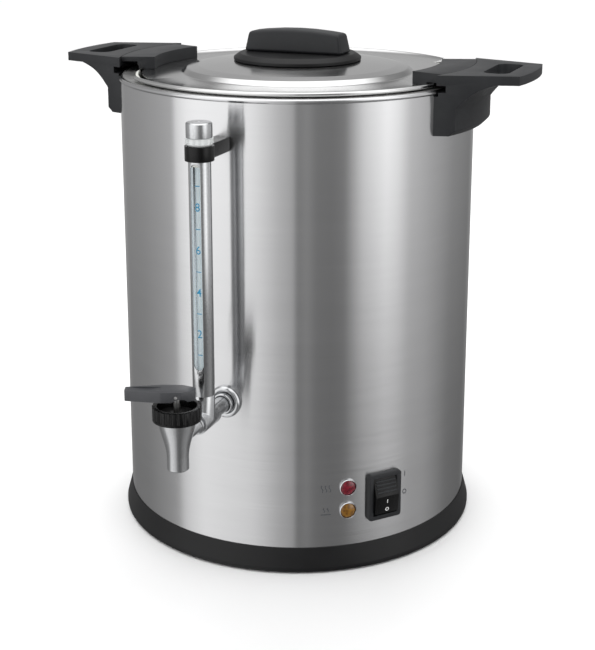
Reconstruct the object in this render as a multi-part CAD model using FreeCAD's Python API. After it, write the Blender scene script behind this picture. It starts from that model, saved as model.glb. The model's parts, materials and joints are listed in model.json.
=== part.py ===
"""Brew kettle: a double-walled electric boiler with a turning lid, a sight gauge and a lever tap.

Millimetres, +Z up. The origin is the middle of the plane that the foot ring stands on.
The tap and the gauge are at the front (-Y) and the two handles are on +X and -X.
"""
import FreeCAD, Part
import math
import os
from FreeCAD import Vector

# ---- Driving sizes: body ------------------------------------------------------------------
shell_radius = 150.0
rim_height = 386.0          # middle of the rolled edge of the shell
sheet = 0.8                 # steel sheet of the shell, pot and lid
rim_bead = 1.9              # radius of the rolled edge of the shell
wall_gap = 12.0             # air gap between the pot and the shell
pot_floor_height = 118.0
floor_curve = 14.0          # corner radius between pot wall and pot floor
base_height = 21.0
base_flare = 5.0            # how far the base ring spreads beyond the shell
base_wall = 3.0
ring_lift = 1.2             # the base ring hangs clear of the table by this much
shell_seat = 12.0           # the shell stands on the base ring's ledge at this height
plate_thickness = 1.2
foot_inset = 28.0           # middle of the foot ring inside the shell's surface
foot_width = 12.0
base_screw_inset = 10.0
vent_inner = 60.0
vent_outer = 90.0
seat_gap = 0.05             # between pieces that are clamped or glued to each other
moving_gap = 0.4            # between pieces that move past each other
hole_gap = 0.3              # a hole is larger than what goes through it, on the radius
running_gap = 0.05          # radial play of a shaft or pin in its bore

# ---- Driving sizes: lid and knob ----------------------------------------------------------
lid_bead = 1.8              # radius of the lid's rolled edge
lid_band = 52.0             # foot of the lid's step inside the shell's surface
lid_step_run = 8.0
lid_step_rise = 5.2
lid_dome_rise = 4.4
lid_skirt_depth = 10.0
seal_thickness = 2.05
notch_depth = 12.5
notch_end = 46.0            # degrees from the handle axis to the open end of the lid's notch
knob_radius = 54.0
knob_top_radius = 48.0
knob_base_height = 6.0
grip_length = 88.0
grip_width = 25.0
grip_height = 19.5
grip_arch = 3.0

# ---- Driving sizes: handles and lid lugs ---------------------------------------------------
handle_rise = 13.6          # top of the handles above the rim
handle_out = 55.0           # outer end of the handles beyond the shell
handle_thickness = 7.2
handle_root_half = 55.0     # half width of a handle at the rim
handle_end_half = 39.0      # half width of a handle at its outer end
bracket_thickness = 13.5
bracket_drop = 34.0         # lower edge of the brackets below the rim
gusset_drop = 13.0
gusset_out = 39.0
slot_out = 18.0             # finger slot's near edge beyond the shell
slot_width = 21.0
slot_half = 30.0
seam_gap = 1.3              # inner face of the handles beyond the shell
lug_depth = 28.0            # inner end of the lid lugs inside the shell's surface
lug_angle = 19.5            # half angle of a lug
lug_foot = 14.0
lug_roof = 4.0
peg_angle = 5.0             # half angle of a lock peg
peg_length = 6.8
peg_height = 2.7

# ---- Driving sizes: tap and gauge ----------------------------------------------------------
outlet_rise = 26.0          # axis of the shank above the pot floor
shank_radius = 6.5
water_bore = 4.0
flange_radius = 13.2
flange_depth = 4.5
gauge_gap = 39.0            # gauge axis beyond the shell
gauge_radius = 8.5
gauge_slot = 8.0
gauge_wall = 1.0
gauge_rise = 20.5           # foot of the shield above the shank
gauge_drop = 39.0           # top of the shield below the rim
glass_radius = 5.0
glass_wall = 1.2
window_rise = 21.5
window_margin = 2.0
tee_radius = 8.5
tee_half = 13.0
clamp_radius = 11.0
clamp_height = 11.0
clamp_bar = 12.0
collar_radius = 10.75
collar_height = 6.0
cap_radius = 9.85
cap_height = 11.6
tap_reach = 45.0            # tap axis beyond the gauge axis
arm_radius = 5.75
collar_bulge = 1.4
nozzle_radius = 8.3
nozzle_drop = 23.0          # mouth of the nozzle below the shank
nozzle_height = 11.0
tap_rise = 17.0             # top of the tap's body above the shank
tap_top_radius = 14.0
seat_drop = 5.0
chamber_radius = 7.5
bonnet_radius = 18.3
bonnet_height = 10.5
bonnet_wall = 3.3
bonnet_floor = 3.5
bonnet_notches = 24
stem_radius = 2.5
cup_radius = 6.4
cup_height = 7.7
pin_rise = 3.7              # lever's pin above the lever's underside
pin_radius = 1.2
lever_swing = 22.0          # degrees that the lever is swung to the front from straight left
lever_reach = 38.0
lever_heel = 14.0
lever_tip_half = 4.0
lever_hub_half = 8.5
lever_hub_reach = 11.0
lever_lift = 5.0            # lever's underside above the bonnet
lever_thickness = 8.0
arch_radius = 7.5
arch_offset = 3.0

# ---- Driving sizes: controls ---------------------------------------------------------------
switch_angle = 50.0         # degrees round from the tap, towards +X
switch_height = 60.5
bezel_width = 30.0
bezel_tall = 40.0
bezel_border = 3.4
bezel_proud = 4.0
rocker_tilt = 8.0
rocker_ridge = 3.6          # how far the middle of the rocker stands out beyond its ends
lamp_angle = 38.0
heat_lamp_height = 72.0
warm_lamp_height = 52.0
lamp_radius = 7.1
lens_radius = 6.0
inlet_height = 58.0
inlet_width = 50.0
inlet_tall = 30.0

# ---- Sizes that follow ----------------------------------------------------------------------
foot_circle = shell_radius - foot_inset
base_screw_circle = shell_radius - base_screw_inset
lid_step_outer = shell_radius - lid_band
lid_step_inner = lid_step_outer - lid_step_run
handle_top = rim_height + handle_rise
handle_reach = shell_radius + handle_out
bracket_bottom = rim_height - bracket_drop
gusset_bottom = rim_height - gusset_drop
gusset_reach = shell_radius + gusset_out
slot_inner = shell_radius + slot_out
slot_outer = slot_inner + slot_width
seam_radius = shell_radius + seam_gap
lug_inner = shell_radius - lug_depth
lug_foot_outer = lug_inner + lug_foot
outlet_height = pot_floor_height + outlet_rise
gauge_out = shell_radius + gauge_gap
gauge_bottom = outlet_height + gauge_rise
gauge_top = rim_height - gauge_drop
window_bottom = gauge_bottom + window_rise
window_top = gauge_top - window_margin
tap_out = gauge_out + tap_reach
nozzle_bottom = outlet_height - nozzle_drop
tap_top = outlet_height + tap_rise
seat_height = outlet_height - seat_drop
lever_bottom = tap_top + bonnet_height + lever_lift
pin_height = lever_bottom + pin_rise
pot_radius = shell_radius - wall_gap
pot_inside = pot_radius - sheet
flange_top = rim_height + rim_bead - 0.2
lid_under = flange_top + 0.7
lid_flat = lid_under + sheet
lid_bead_centre = rim_height + rim_bead + 0.5 + lid_bead
lid_crown = lid_flat + lid_step_rise + lid_dome_rise
skirt_outer = pot_inside - 2 * moving_gap - seal_thickness
lid_radius = shell_radius - rim_bead + 0.5
bracket_outer = shell_radius + bracket_thickness
lug_outer = seam_radius - moving_gap
lug_under = lid_bead_centre + lid_bead + 0.2
peg_bottom = lug_under + 0.3
cavity_top = handle_top - lug_roof
collar_top = gauge_top + clamp_height + collar_height
UP = Vector(0, 0, 1)
CENTRE = Vector(0, 0, 0)


# ---- Shape helpers --------------------------------------------------------------------------
def disc(radius, low, high, x=0.0, y=0.0):
    """Upright cylinder between two heights."""
    return Part.makeCylinder(radius, high - low, Vector(x, y, low))


def ring(outer, inner, low, high, x=0.0, y=0.0):
    """Upright tube between two heights."""
    return disc(outer, low, high, x, y).cut(disc(inner, low - 1, high + 1, x, y))


def rod(radius, near, far, z, x=0.0):
    """Cylinder along Y, from y = -near to y = -far."""
    return Part.makeCylinder(radius, far - near, Vector(x, -near, z), Vector(0, -1, 0))


def block(xs, ys, zs):
    """Box from three (low, high) pairs."""
    return Part.makeBox(xs[1] - xs[0], ys[1] - ys[0], zs[1] - zs[0], Vector(xs[0], ys[0], zs[0]))


def polygon(points):
    """Flat face from a list of vectors."""
    return Part.Face(Part.makePolygon(points + [points[0]]))


def turned(points, x=0.0, y=0.0, angle=360.0, start=0.0):
    """Solid of revolution about Z from (radius, height) points."""
    solid = polygon([Vector(r, 0, z) for r, z in points]).revolve(CENTRE, UP, angle)
    solid.rotate(CENTRE, UP, start)
    solid.translate(Vector(x, y, 0))
    return solid


def wedge(inner, outer, low, high, start, end):
    """Ring sector between two angles in degrees, counted from +X."""
    return turned([(inner, low), (outer, low), (outer, high), (inner, high)],
                  angle=end - start, start=start)


def swung(shape, angle):
    """Copy turned about the kettle's axis."""
    copy = shape.copy()
    copy.rotate(CENTRE, UP, angle)
    return copy


def hexagon(across, near, far, z):
    """Hexagonal prism along Y."""
    corner = across / math.sqrt(3)
    points = []
    for step in range(6):
        turn = math.radians(60 * step)
        points.append(Vector(corner * math.cos(turn), -near, z + corner * math.sin(turn)))
    return polygon(points).extrude(Vector(0, near - far, 0))


def bolt(shaft, head, shaft_length, head_height):
    """Bolt standing on z = 0, head down, shaft up."""
    body = disc(head, -head_height, 0).cut(disc(head * 0.45, -head_height - 1, -head_height * 0.5))
    return body.fuse(disc(shaft, 0, shaft_length)).removeSplitter()


def upright_edges(shape):
    """Straight vertical edges of a shape."""
    found = []
    for edge in shape.Edges:
        run = edge.Vertexes[-1].Point - edge.Vertexes[0].Point
        if abs(run.x) < 1e-6 and abs(run.y) < 1e-6 and abs(run.z) > 1e-6:
            found.append(edge)
    return found


# ---- Body -----------------------------------------------------------------------------------
def control_holes():
    """Everything that the shell is pierced for."""
    holes = [rod(shank_radius + hole_gap, pot_radius, shell_radius + 5, outlet_height)]
    inner_width = bezel_width - 2 * bezel_border + 1.4
    inner_tall = bezel_tall - 2 * bezel_border + 1.4
    switch = block((-inner_width / 2, inner_width / 2), (-shell_radius - 5, -shell_radius + 10),
                   (switch_height - inner_tall / 2, switch_height + inner_tall / 2))
    holes.append(swung(switch, switch_angle))
    for height in (heat_lamp_height, warm_lamp_height):
        holes.append(swung(rod(lens_radius + 0.5, shell_radius - 5, shell_radius + 5, height), lamp_angle))
    inlet = block((-inlet_width / 2 + 8, inlet_width / 2 - 8), (shell_radius - 10, shell_radius + 5),
                  (inlet_height - inlet_tall / 2 + 3, inlet_height + inlet_tall / 2 - 3))
    holes.append(inlet)
    holes.append(rod(1.5 + hole_gap, pot_radius, shell_radius + 5, clamp_screw_level()))
    for side in (-1, 1):
        for screw in handle_screw_places():
            holes.append(Part.makeCylinder(3.0, 20, Vector(side * (shell_radius - 10), screw[0], screw[1]),
                                           Vector(side, 0, 0)))
    return holes


def clamp_screw_level():
    """Height of the screw that holds the gauge clamp."""
    return gauge_top + (clamp_height + seat_gap) / 2


def outer_shell():
    """Rolled sheet tube with a bead round its rim."""
    tube = ring(shell_radius, shell_radius - sheet, shell_seat, rim_height)
    bead = Part.makeTorus(shell_radius - 0.4, rim_bead, Vector(0, 0, rim_height))
    shell = tube.fuse(bead).removeSplitter()
    return shell.cut(Part.makeCompound(control_holes()))


def inner_pot():
    """Deep pot with a rounded floor corner and a flat flange that meets the shell's bead."""
    floor = pot_floor_height
    outer = disc(pot_radius, floor - sheet, flange_top)
    outer = outer.makeFillet(floor_curve, [bottom_edge(outer)])
    hollow = disc(pot_inside, floor, flange_top + 5)
    hollow = hollow.makeFillet(floor_curve - sheet, [bottom_edge(hollow)])
    flange = ring(shell_radius - 0.4 - rim_bead - seat_gap, pot_inside, flange_top - sheet, flange_top)
    pot = outer.cut(hollow).fuse(flange).removeSplitter()
    return pot.cut(rod(shank_radius + hole_gap, pot_radius - 20, shell_radius - 5, outlet_height))


def bottom_edge(cylinder):
    """The lowest circular edge of an upright cylinder."""
    return min((e for e in cylinder.Edges if not e.BoundBox.ZLength > 1e-6), key=lambda e: e.BoundBox.ZMax)


def base_ring():
    """Flared plastic skirt with a ledge that the shell stands on."""
    top = shell_radius + 0.6
    points = [(shell_radius + base_flare, ring_lift), (shell_radius + base_flare, ring_lift + 4)]
    points += [(top, base_height), (shell_radius + seat_gap, base_height)]
    points += [(shell_radius + seat_gap, shell_seat), (shell_radius - 12, shell_seat)]
    points += [(shell_radius - 12, shell_seat - base_wall)]
    points += [(shell_radius - base_wall, shell_seat - base_wall), (shell_radius - base_wall, ring_lift)]
    skirt = turned(points)
    for x, y in around(6, base_screw_circle, 30):
        boss = ring(4.5, 1.6, plate_level() + plate_thickness, shell_seat - base_wall, x, y)
        skirt = skirt.fuse(boss)
    return skirt.removeSplitter()


def plate_level():
    """Underside of the base plate."""
    return ring_lift + 2.6


def around(count, radius, first):
    """Evenly spaced places on a circle."""
    places = []
    for step in range(count):
        turn = math.radians(first + 360.0 * step / count)
        places.append((radius * math.cos(turn), radius * math.sin(turn)))
    return places


def base_plate():
    """Steel bottom cover with vent slots, screw holes and holes for the foot ring's studs."""
    low = plate_level()
    plate = disc(shell_radius - base_wall - seat_gap * 4, low, low + plate_thickness)
    cuts = []
    for x, y in around(6, base_screw_circle, 30):
        cuts.append(disc(2.0, low - 1, low + 3, x, y))
    for x, y in around(4, foot_circle, 45):
        cuts.append(disc(3.2, low - 1, low + 3, x, y))
    for step in range(12):
        slot = block((vent_inner, vent_outer), (-2, 2), (low - 1, low + 3))
        cuts.append(swung(slot, 30 * step + 15))
    return plate.cut(Part.makeCompound(cuts))


def base_screws():
    """Six screws that hold the base plate to the bosses of the base ring."""
    screws = []
    for x, y in around(6, base_screw_circle, 30):
        screw = bolt(1.5, 3.0, 4.2, 1.6)
        screw.translate(Vector(x, y, plate_level()))
        screws.append(screw)
    return Part.makeCompound(screws)


def foot_ring():
    """Non-slip rubber ring that the kettle stands on, with four studs through the base plate."""
    low = plate_level()
    inner = foot_circle - foot_width / 2
    outer = foot_circle + foot_width / 2
    foot = turned([(inner + 1, 0), (outer - 1, 0), (outer, 1), (outer, low), (inner, low), (inner, 1)])
    for x, y in around(4, foot_circle, 45):
        stud = turned([(0, low), (3.0, low), (3.0, low + plate_thickness), (4.2, low + plate_thickness),
                       (3.0, low + plate_thickness + 3), (0, low + plate_thickness + 3)], x, y)
        foot = foot.fuse(stud)
    return foot.removeSplitter()


# ---- Heating and wiring ---------------------------------------------------------------------
heater_top = pot_floor_height - sheet - seat_gap
heater_thickness = 8.0
heater_radius = 78.0
element_radius = 3.5
boil_ring = 62.0
keep_warm_ring = 38.0


def heater_plate():
    """Aluminium spreader plate under the pot floor, grooved for both elements."""
    plate = disc(heater_radius, heater_top - heater_thickness, heater_top)
    for radius in (boil_ring, keep_warm_ring):
        groove = Part.makeTorus(radius, element_radius + 3 * seat_gap,
                                Vector(0, 0, heater_top - heater_thickness))
        plate = plate.cut(groove)
    return plate


def element(radius, opening):
    """Sheathed ring element with two cold ends that turn down."""
    level = heater_top - heater_thickness
    loop = Part.makeTorus(radius, element_radius, Vector(0, 0, level))
    loop = loop.cut(wedge(1, radius + 10, level - 10, level + 10, -opening, opening))
    turn = math.radians(opening + 3)
    for side in (-1, 1):
        x = radius * math.cos(turn)
        y = side * radius * math.sin(turn)
        loop = loop.fuse(disc(element_radius - 0.5, level - 16, level + 1, x, y))
        loop = loop.fuse(disc(1.2, level - 24, level - 15, x, y))
    return loop.removeSplitter()


def heater_clamp():
    """Cross bar that presses both elements up, on a stud that is welded to the pot floor."""
    level = heater_top - heater_thickness - element_radius - seat_gap
    bar = block((-9, 9), (-70, 70), (level - 3, level))
    return bar.cut(disc(3.2, level - 5, level + 5))


def heater_nut():
    """Nut under the clamp bar, with the stud that it runs on."""
    level = heater_top - heater_thickness - element_radius - seat_gap
    stud = disc(3.0, level - 10, heater_top - heater_thickness - seat_gap)
    nut = hexagon(10, 0, 5, 0)
    nut.rotate(CENTRE, Vector(1, 0, 0), 90)
    nut.translate(Vector(0, 0, level - 3 - seat_gap))
    if nut.BoundBox.ZMax > level - 3:
        nut.translate(Vector(0, 0, level - 3 - seat_gap - nut.BoundBox.ZMax))
    return nut.fuse(stud).removeSplitter()


def thermostat(x, y, radius):
    """Snap-disc thermostat pressed to the underside of the heater plate."""
    top = heater_top - heater_thickness - seat_gap
    body = disc(radius, top - 9, top, x, y)
    body = body.fuse(disc(radius * 0.7, top - 14, top - 9, x, y))
    for side in (-1, 1):
        body = body.fuse(block((x + side * 4 - 0.4, x + side * 4 + 0.4), (y - 3, y + 3), (top - 22, top - 14)))
    return body.removeSplitter()


def thermal_fuse():
    """Axial one-shot fuse in a clip on the heater plate."""
    top = heater_top - heater_thickness - seat_gap
    clip = block((-6, 6), (48.6, 52.6), (top - 1, top))
    clip = clip.fuse(block((-1, 1), (48.6, 52.6), (top - 4, top - 1)))
    body = Part.makeCylinder(2.5, 16, Vector(-8, 50.6, top - 6), Vector(1, 0, 0))
    return swung(clip.fuse(body).removeSplitter(), 45)


def terminal_block():
    """Screw terminal block on the base plate."""
    low = plate_level() + plate_thickness
    body = block((-35, 5), (70, 92), (low, low + 16))
    for step in range(5):
        x = -31 + 8 * step
        body = body.cut(disc(2.0, low + 6, low + 20, x, 75))
        body = body.cut(disc(2.0, low + 6, low + 20, x, 87))
    return body


# ---- Power inlet ------------------------------------------------------------------------------
def power_inlet():
    """Appliance inlet with a flange outside the shell and a recess for the lead's connector."""
    half_w = inlet_width / 2
    half_t = inlet_tall / 2
    flange = block((-half_w, half_w), (shell_radius - 2.5, shell_radius + 3),
                   (inlet_height - half_t, inlet_height + half_t))
    flange = flange.makeFillet(3.0, along_edges(flange, "y"))
    flange = flange.cut(disc(shell_radius + seat_gap, 0, 200))
    body = block((-half_w + 8.5, half_w - 8.5), (shell_radius - 22, shell_radius + 1),
                 (inlet_height - half_t + 3.5, inlet_height + half_t - 3.5))
    recess = block((-half_w + 11, half_w - 11), (shell_radius - 18, shell_radius + 10),
                   (inlet_height - half_t + 6, inlet_height + half_t - 6))
    inlet = flange.fuse(body).removeSplitter().cut(recess)
    for side in (-1, 1):
        inlet = inlet.cut(rod(1.8, -shell_radius - 6, -shell_radius + 6, inlet_height, side * (half_w - 4)))
    for x, z in pin_places():
        inlet = inlet.cut(block((x - 1, x + 1), (shell_radius - 25, shell_radius - 15), (z - 2, z + 2)))
    return inlet


def along_edges(shape, axis):
    """Straight edges that run along one axis."""
    found = []
    for edge in shape.Edges:
        size = (edge.BoundBox.XLength, edge.BoundBox.YLength, edge.BoundBox.ZLength)
        longest = "xyz"[size.index(max(size))]
        others = sorted(size)[:2]
        if longest == axis and max(others) < 1e-6:
            found.append(edge)
    return found


def pin_places():
    """Places of the three inlet pins across the recess."""
    return [(-7.0, inlet_height - 2), (0.0, inlet_height + 2), (7.0, inlet_height - 2)]


def inlet_pins():
    """Three flat pins that pass through the back of the inlet."""
    pins = []
    for x, z in pin_places():
        pins.append(block((x - 0.95, x + 0.95), (shell_radius - 28, shell_radius - 6), (z - 1.95, z + 1.95)))
    return Part.makeCompound(pins)


def inlet_screws():
    """Two screws through the inlet flange into the shell."""
    screws = []
    for side in (-1, 1):
        x = side * (inlet_width / 2 - 4)
        head = rod(3.0, -shell_radius - 4.6, -shell_radius - 3.05, inlet_height, x)
        shaft = rod(1.7, -shell_radius - 3.05, -shell_radius - 0.4, inlet_height, x)
        screws.append(head.fuse(shaft).removeSplitter())
    return Part.makeCompound(screws)


# ---- Switch and lamps -------------------------------------------------------------------------
def front_block(half_width, near, far, half_tall, middle):
    """Box facing the front, between two distances from the kettle's axis."""
    return block((-half_width, half_width), (-far, -near), (middle - half_tall, middle + half_tall))


def switch_housing():
    """Bezel that overlaps the shell, and the case behind it."""
    bezel = front_block(bezel_width / 2, shell_radius - 3, shell_radius + bezel_proud, bezel_tall / 2,
                        switch_height)
    bezel = bezel.makeFillet(2.5, along_edges(bezel, "y"))
    bezel = bezel.cut(disc(shell_radius + seat_gap, 0, 200))
    case = front_block(bezel_width / 2 - bezel_border + 0.5, shell_radius - 30, shell_radius + 1,
                       bezel_tall / 2 - bezel_border + 0.5, switch_height)
    opening = front_block(bezel_width / 2 - bezel_border - 0.6, shell_radius - 12, shell_radius + 10,
                          bezel_tall / 2 - bezel_border - 0.3, switch_height)
    housing = bezel.fuse(case).removeSplitter().cut(opening)
    pivot = along_x(2.0 + running_gap, bezel_width / 2 - bezel_border + 0.1, rocker_pivot(), switch_height)
    housing = housing.cut(pivot)
    return swung(housing, switch_angle)


def rocker_pivot():
    """Distance of the rocker's pivot from the kettle's axis."""
    return shell_radius - 3.0


def along_x(radius, half, out, z):
    """Cylinder along X, centred on the front plane."""
    return Part.makeCylinder(radius, 2 * half, Vector(-half, -out, z), Vector(1, 0, 0))


def switch_rocker():
    """Ridged rocker, tipped so that its lower half stands proud."""
    half_w = bezel_width / 2 - bezel_border - 0.6 - moving_gap
    half_t = bezel_tall / 2 - bezel_border - 0.3 - 1.3
    front = shell_radius + bezel_proud + 0.6
    points = [Vector(-half_w, -(shell_radius - 6.5), switch_height - half_t + 2.5),
              Vector(-half_w, -front, switch_height - half_t),
              Vector(-half_w, -(front + rocker_ridge), switch_height),
              Vector(-half_w, -front, switch_height + half_t),
              Vector(-half_w, -(shell_radius - 6.5), switch_height + half_t - 2.5)]
    rocker = polygon(points).extrude(Vector(2 * half_w, 0, 0))
    pivot = along_x(2.0, bezel_width / 2 - bezel_border, rocker_pivot(), switch_height)
    rocker = rocker.fuse(pivot).removeSplitter()
    rocker.rotate(Vector(0, -rocker_pivot(), switch_height), Vector(1, 0, 0), -rocker_tilt)
    return swung(rocker, switch_angle)


def switch_terminals():
    """Four blade terminals at the back of the switch."""
    blades = []
    for x in (-6, 6):
        for z in (-8, 8):
            blade = block((x - 3.1, x + 3.1), (-(shell_radius - 30) + seat_gap, -(shell_radius - 38)),
                          (switch_height + z - 0.4, switch_height + z + 0.4))
            blades.append(swung(blade, switch_angle))
    return Part.makeCompound(blades)


def lamp_bezels():
    """Bright turned ring against the shell round each lamp."""
    rings = []
    for height in (heat_lamp_height, warm_lamp_height):
        outer = rod(lamp_radius, shell_radius - 2, shell_radius + 2.2, height)
        outer = outer.cut(disc(shell_radius + seat_gap, 0, 200))
        outer = outer.cut(rod(lens_radius + seat_gap, shell_radius - 9, shell_radius + 9, height))
        rings.append(swung(outer, lamp_angle))
    return Part.makeCompound(rings)


def lamp_lens(height):
    """Domed lens with a collar that reaches through the shell."""
    barrel = rod(lens_radius, shell_radius - 7, shell_radius + 2.4, height)
    dome = Part.makeSphere(lens_radius * 1.25, Vector(0, -(shell_radius + 2.4 - lens_radius * 0.75), height))
    dome = dome.common(rod(lens_radius, shell_radius + 2.4, shell_radius + 9, height))
    return swung(barrel.fuse(dome).removeSplitter(), lamp_angle)


def lamp_holders():
    """Case of each lamp with two leads, behind its lens."""
    holders = []
    for height in (heat_lamp_height, warm_lamp_height):
        case = rod(lens_radius + 1.5, shell_radius - 24, shell_radius - 7 - seat_gap, height)
        for side in (-1, 1):
            case = case.fuse(rod(0.6, shell_radius - 30, shell_radius - 23, height, side * 2.5))
        holders.append(swung(case.removeSplitter(), lamp_angle))
    return Part.makeCompound(holders)


# ---- Outlet, gauge and tap ----------------------------------------------------------------------
tee_back = gauge_out - tee_half
tee_front = gauge_out + tee_half


def tap_shank():
    """Threaded tube that carries water through both walls."""
    tube = rod(shank_radius, pot_inside - 12, tee_back + 6, outlet_height)
    return tube.cut(rod(water_bore, pot_inside - 20, tee_back + 10, outlet_height))


def shank_nut():
    """Lock nut inside the pot."""
    nut = hexagon(22, pot_inside - 10, pot_inside - 4, outlet_height)
    return nut.cut(rod(shank_radius + seat_gap, pot_radius - 30, shell_radius + 50, outlet_height))


def shank_gasket():
    """Silicone washer between the lock nut and the pot wall."""
    washer = rod(11.5, pot_inside - 4 + seat_gap, pot_inside + 2, outlet_height)
    washer = washer.common(disc(pot_inside - seat_gap, 0, 400))
    return washer.cut(rod(shank_radius + seat_gap, pot_radius - 30, shell_radius + 50, outlet_height))


def wall_spacer():
    """Sleeve that keeps the pot wall and the shell apart."""
    sleeve = rod(9.0, pot_radius - 5, shell_radius, outlet_height)
    sleeve = sleeve.common(ring(shell_radius - sheet - seat_gap, pot_radius + seat_gap, 0, 400))
    return sleeve.cut(rod(shank_radius + seat_gap, pot_radius - 30, shell_radius + 50, outlet_height))


def wall_flange():
    """Dished round flange that closes the shell's hole, with a rounded rim."""
    flange = rod(flange_radius, shell_radius - 2, shell_radius + flange_depth, outlet_height)
    dish = rod(flange_radius - 3, shell_radius + flange_depth - 1.6, shell_radius + 20, outlet_height)
    flange = flange.cut(dish).fuse(rod(tee_radius, shell_radius, shell_radius + 8, outlet_height))
    flange = flange.cut(disc(shell_radius + seat_gap, 0, 400)).removeSplitter()
    return flange.cut(rod(shank_radius + seat_gap, pot_radius - 30, shell_radius + 50, outlet_height))


def gauge_foot():
    """Tee: shank at the back, tap at the front, gauge on top."""
    body = rod(tee_radius, tee_back, tee_front, outlet_height)
    body = body.fuse(disc(gauge_radius, outlet_height, gauge_bottom - seat_gap, 0, -gauge_out))
    body = body.fuse(disc(gauge_radius - gauge_wall - seat_gap, outlet_height, gauge_bottom + 6, 0, -gauge_out))
    body = body.fuse(Part.makeSphere(tee_radius, Vector(0, -gauge_out, outlet_height)))
    body = body.cut(rod(shank_radius + seat_gap, tee_back - 5, tee_back + 6 + seat_gap, outlet_height))
    body = body.cut(rod(water_bore, tee_back, tee_front - 6, outlet_height))
    body = body.cut(rod(arm_radius + seat_gap, tee_front - 6, tee_front + 5, outlet_height))
    body = body.cut(disc(glass_radius - glass_wall, outlet_height, gauge_top, 0, -gauge_out))
    return body.removeSplitter().cut(disc(glass_radius + seat_gap, gauge_bottom - 4, gauge_top, 0, -gauge_out))


def gauge_shield():
    """Metal guard tube with a window slot that faces outward."""
    tube = ring(gauge_radius, gauge_radius - gauge_wall, gauge_bottom, gauge_top, 0, -gauge_out)
    half = gauge_slot / 2
    far = gauge_out + gauge_radius + 2
    slot = block((-half, half), (-far, -gauge_out), (window_bottom + half, window_top - half))
    for height in (window_bottom + half, window_top - half):
        slot = slot.fuse(rod(half, gauge_out, far, height))
    return tube.cut(slot)


def gauge_glass():
    """Glass tube that shows the water level."""
    low = gauge_bottom - 4 + 1
    return ring(glass_radius, glass_radius - glass_wall, low, collar_top + 4, 0, -gauge_out)


def gauge_seals():
    """Rubber ring at each end of the glass."""
    lower = ring(glass_radius, glass_radius - glass_wall, gauge_bottom - 4 + seat_gap,
                 gauge_bottom - 3 - seat_gap, 0, -gauge_out)
    top = gauge_top - 1
    upper = ring(gauge_radius - gauge_wall - seat_gap, glass_radius + seat_gap, top - 3, top, 0, -gauge_out)
    return Part.makeCompound([lower, upper])


def gauge_clamp():
    """Ring clamp round the top of the shield with a bar that reaches the shell."""
    low = gauge_top + seat_gap
    high = gauge_top + clamp_height
    clamp = disc(clamp_radius, low, high, 0, -gauge_out)
    bar = block((-clamp_bar / 2, clamp_bar / 2), (-gauge_out, -shell_radius + 4), (low, high))
    clamp = clamp.fuse(bar.cut(disc(shell_radius + seat_gap, low - 1, high + 1))).removeSplitter()
    clamp = clamp.cut(disc(glass_radius + seat_gap, low - 1, high + 1, 0, -gauge_out))
    return clamp.cut(rod(1.5 + seat_gap, shell_radius - 2, shell_radius + 14, clamp_screw_level()))


def gauge_clamp_screw():
    """Screw from inside the shell into the clamp's bar."""
    middle = clamp_screw_level()
    shaft = rod(1.5, shell_radius - sheet - 2, shell_radius + 13, middle)
    head = rod(3.2, shell_radius - sheet - 4, shell_radius - sheet - 1.2, middle)
    return shaft.fuse(head).removeSplitter()


def gauge_collar():
    """Knurled collar above the clamp."""
    low = gauge_top + clamp_height + seat_gap
    collar = turned([(glass_radius + seat_gap, low), (collar_radius - 1.8, low), (collar_radius, low + 2),
                     (collar_radius, collar_top), (glass_radius + seat_gap, collar_top)], 0, -gauge_out)
    grooves = []
    for x, y in around(30, collar_radius + 0.3, 0):
        grooves.append(disc(0.7, low - 1, collar_top + 1, x, y - gauge_out))
    return collar.cut(Part.makeCompound(grooves))


def gauge_cap():
    """Domed cap with a small breather hole."""
    low = collar_top + seat_gap
    high = collar_top + cap_height
    cap = turned([(0, low), (cap_radius, low), (cap_radius, high - 2.2), (cap_radius - 2.4, high), (0, high)],
                 0, -gauge_out)
    cap = cap.cut(disc(glass_radius + seat_gap, low - 1, collar_top + 4.1, 0, -gauge_out))
    return cap.cut(disc(1.0, low, high + 1, 0, -gauge_out))


def tap_body():
    """Tap casting: arm, waisted barrel and nozzle, with a seat for the cup inside."""
    neck = nozzle_bottom + nozzle_height
    rise = tap_top - neck
    swell = tap_top_radius - nozzle_radius
    outer = [(0, nozzle_bottom), (nozzle_radius, nozzle_bottom), (nozzle_radius, neck)]
    for height, width in ((0.18, 0.04), (0.45, 0.33), (0.74, 0.68), (0.88, 0.87), (1.0, 1.0)):
        outer.append((nozzle_radius + swell * width, neck + rise * height))
    outer += [(0, tap_top)]
    body = turned(outer, 0, -tap_out)
    body = body.fuse(rod(arm_radius, tee_front - 6 + seat_gap, tap_out, outlet_height))
    body = body.fuse(rod(arm_radius + collar_bulge, tee_front + seat_gap, tee_front + 4, outlet_height))
    body = body.cut(rod(arm_radius - 2.25, tee_front - 10, tap_out, outlet_height))
    body = body.cut(disc(chamber_radius, seat_height, tap_top + 1, 0, -tap_out))
    body = body.cut(disc(chamber_radius + 3, seat_height + 13, tap_top + 1, 0, -tap_out))
    body = body.cut(disc(nozzle_radius - 2.3, nozzle_bottom - 1, seat_height - 4, 0, -tap_out))
    body = body.cut(disc(4.2, seat_height - 6, seat_height + 1, 0, -tap_out))
    return body.removeSplitter()


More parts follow.
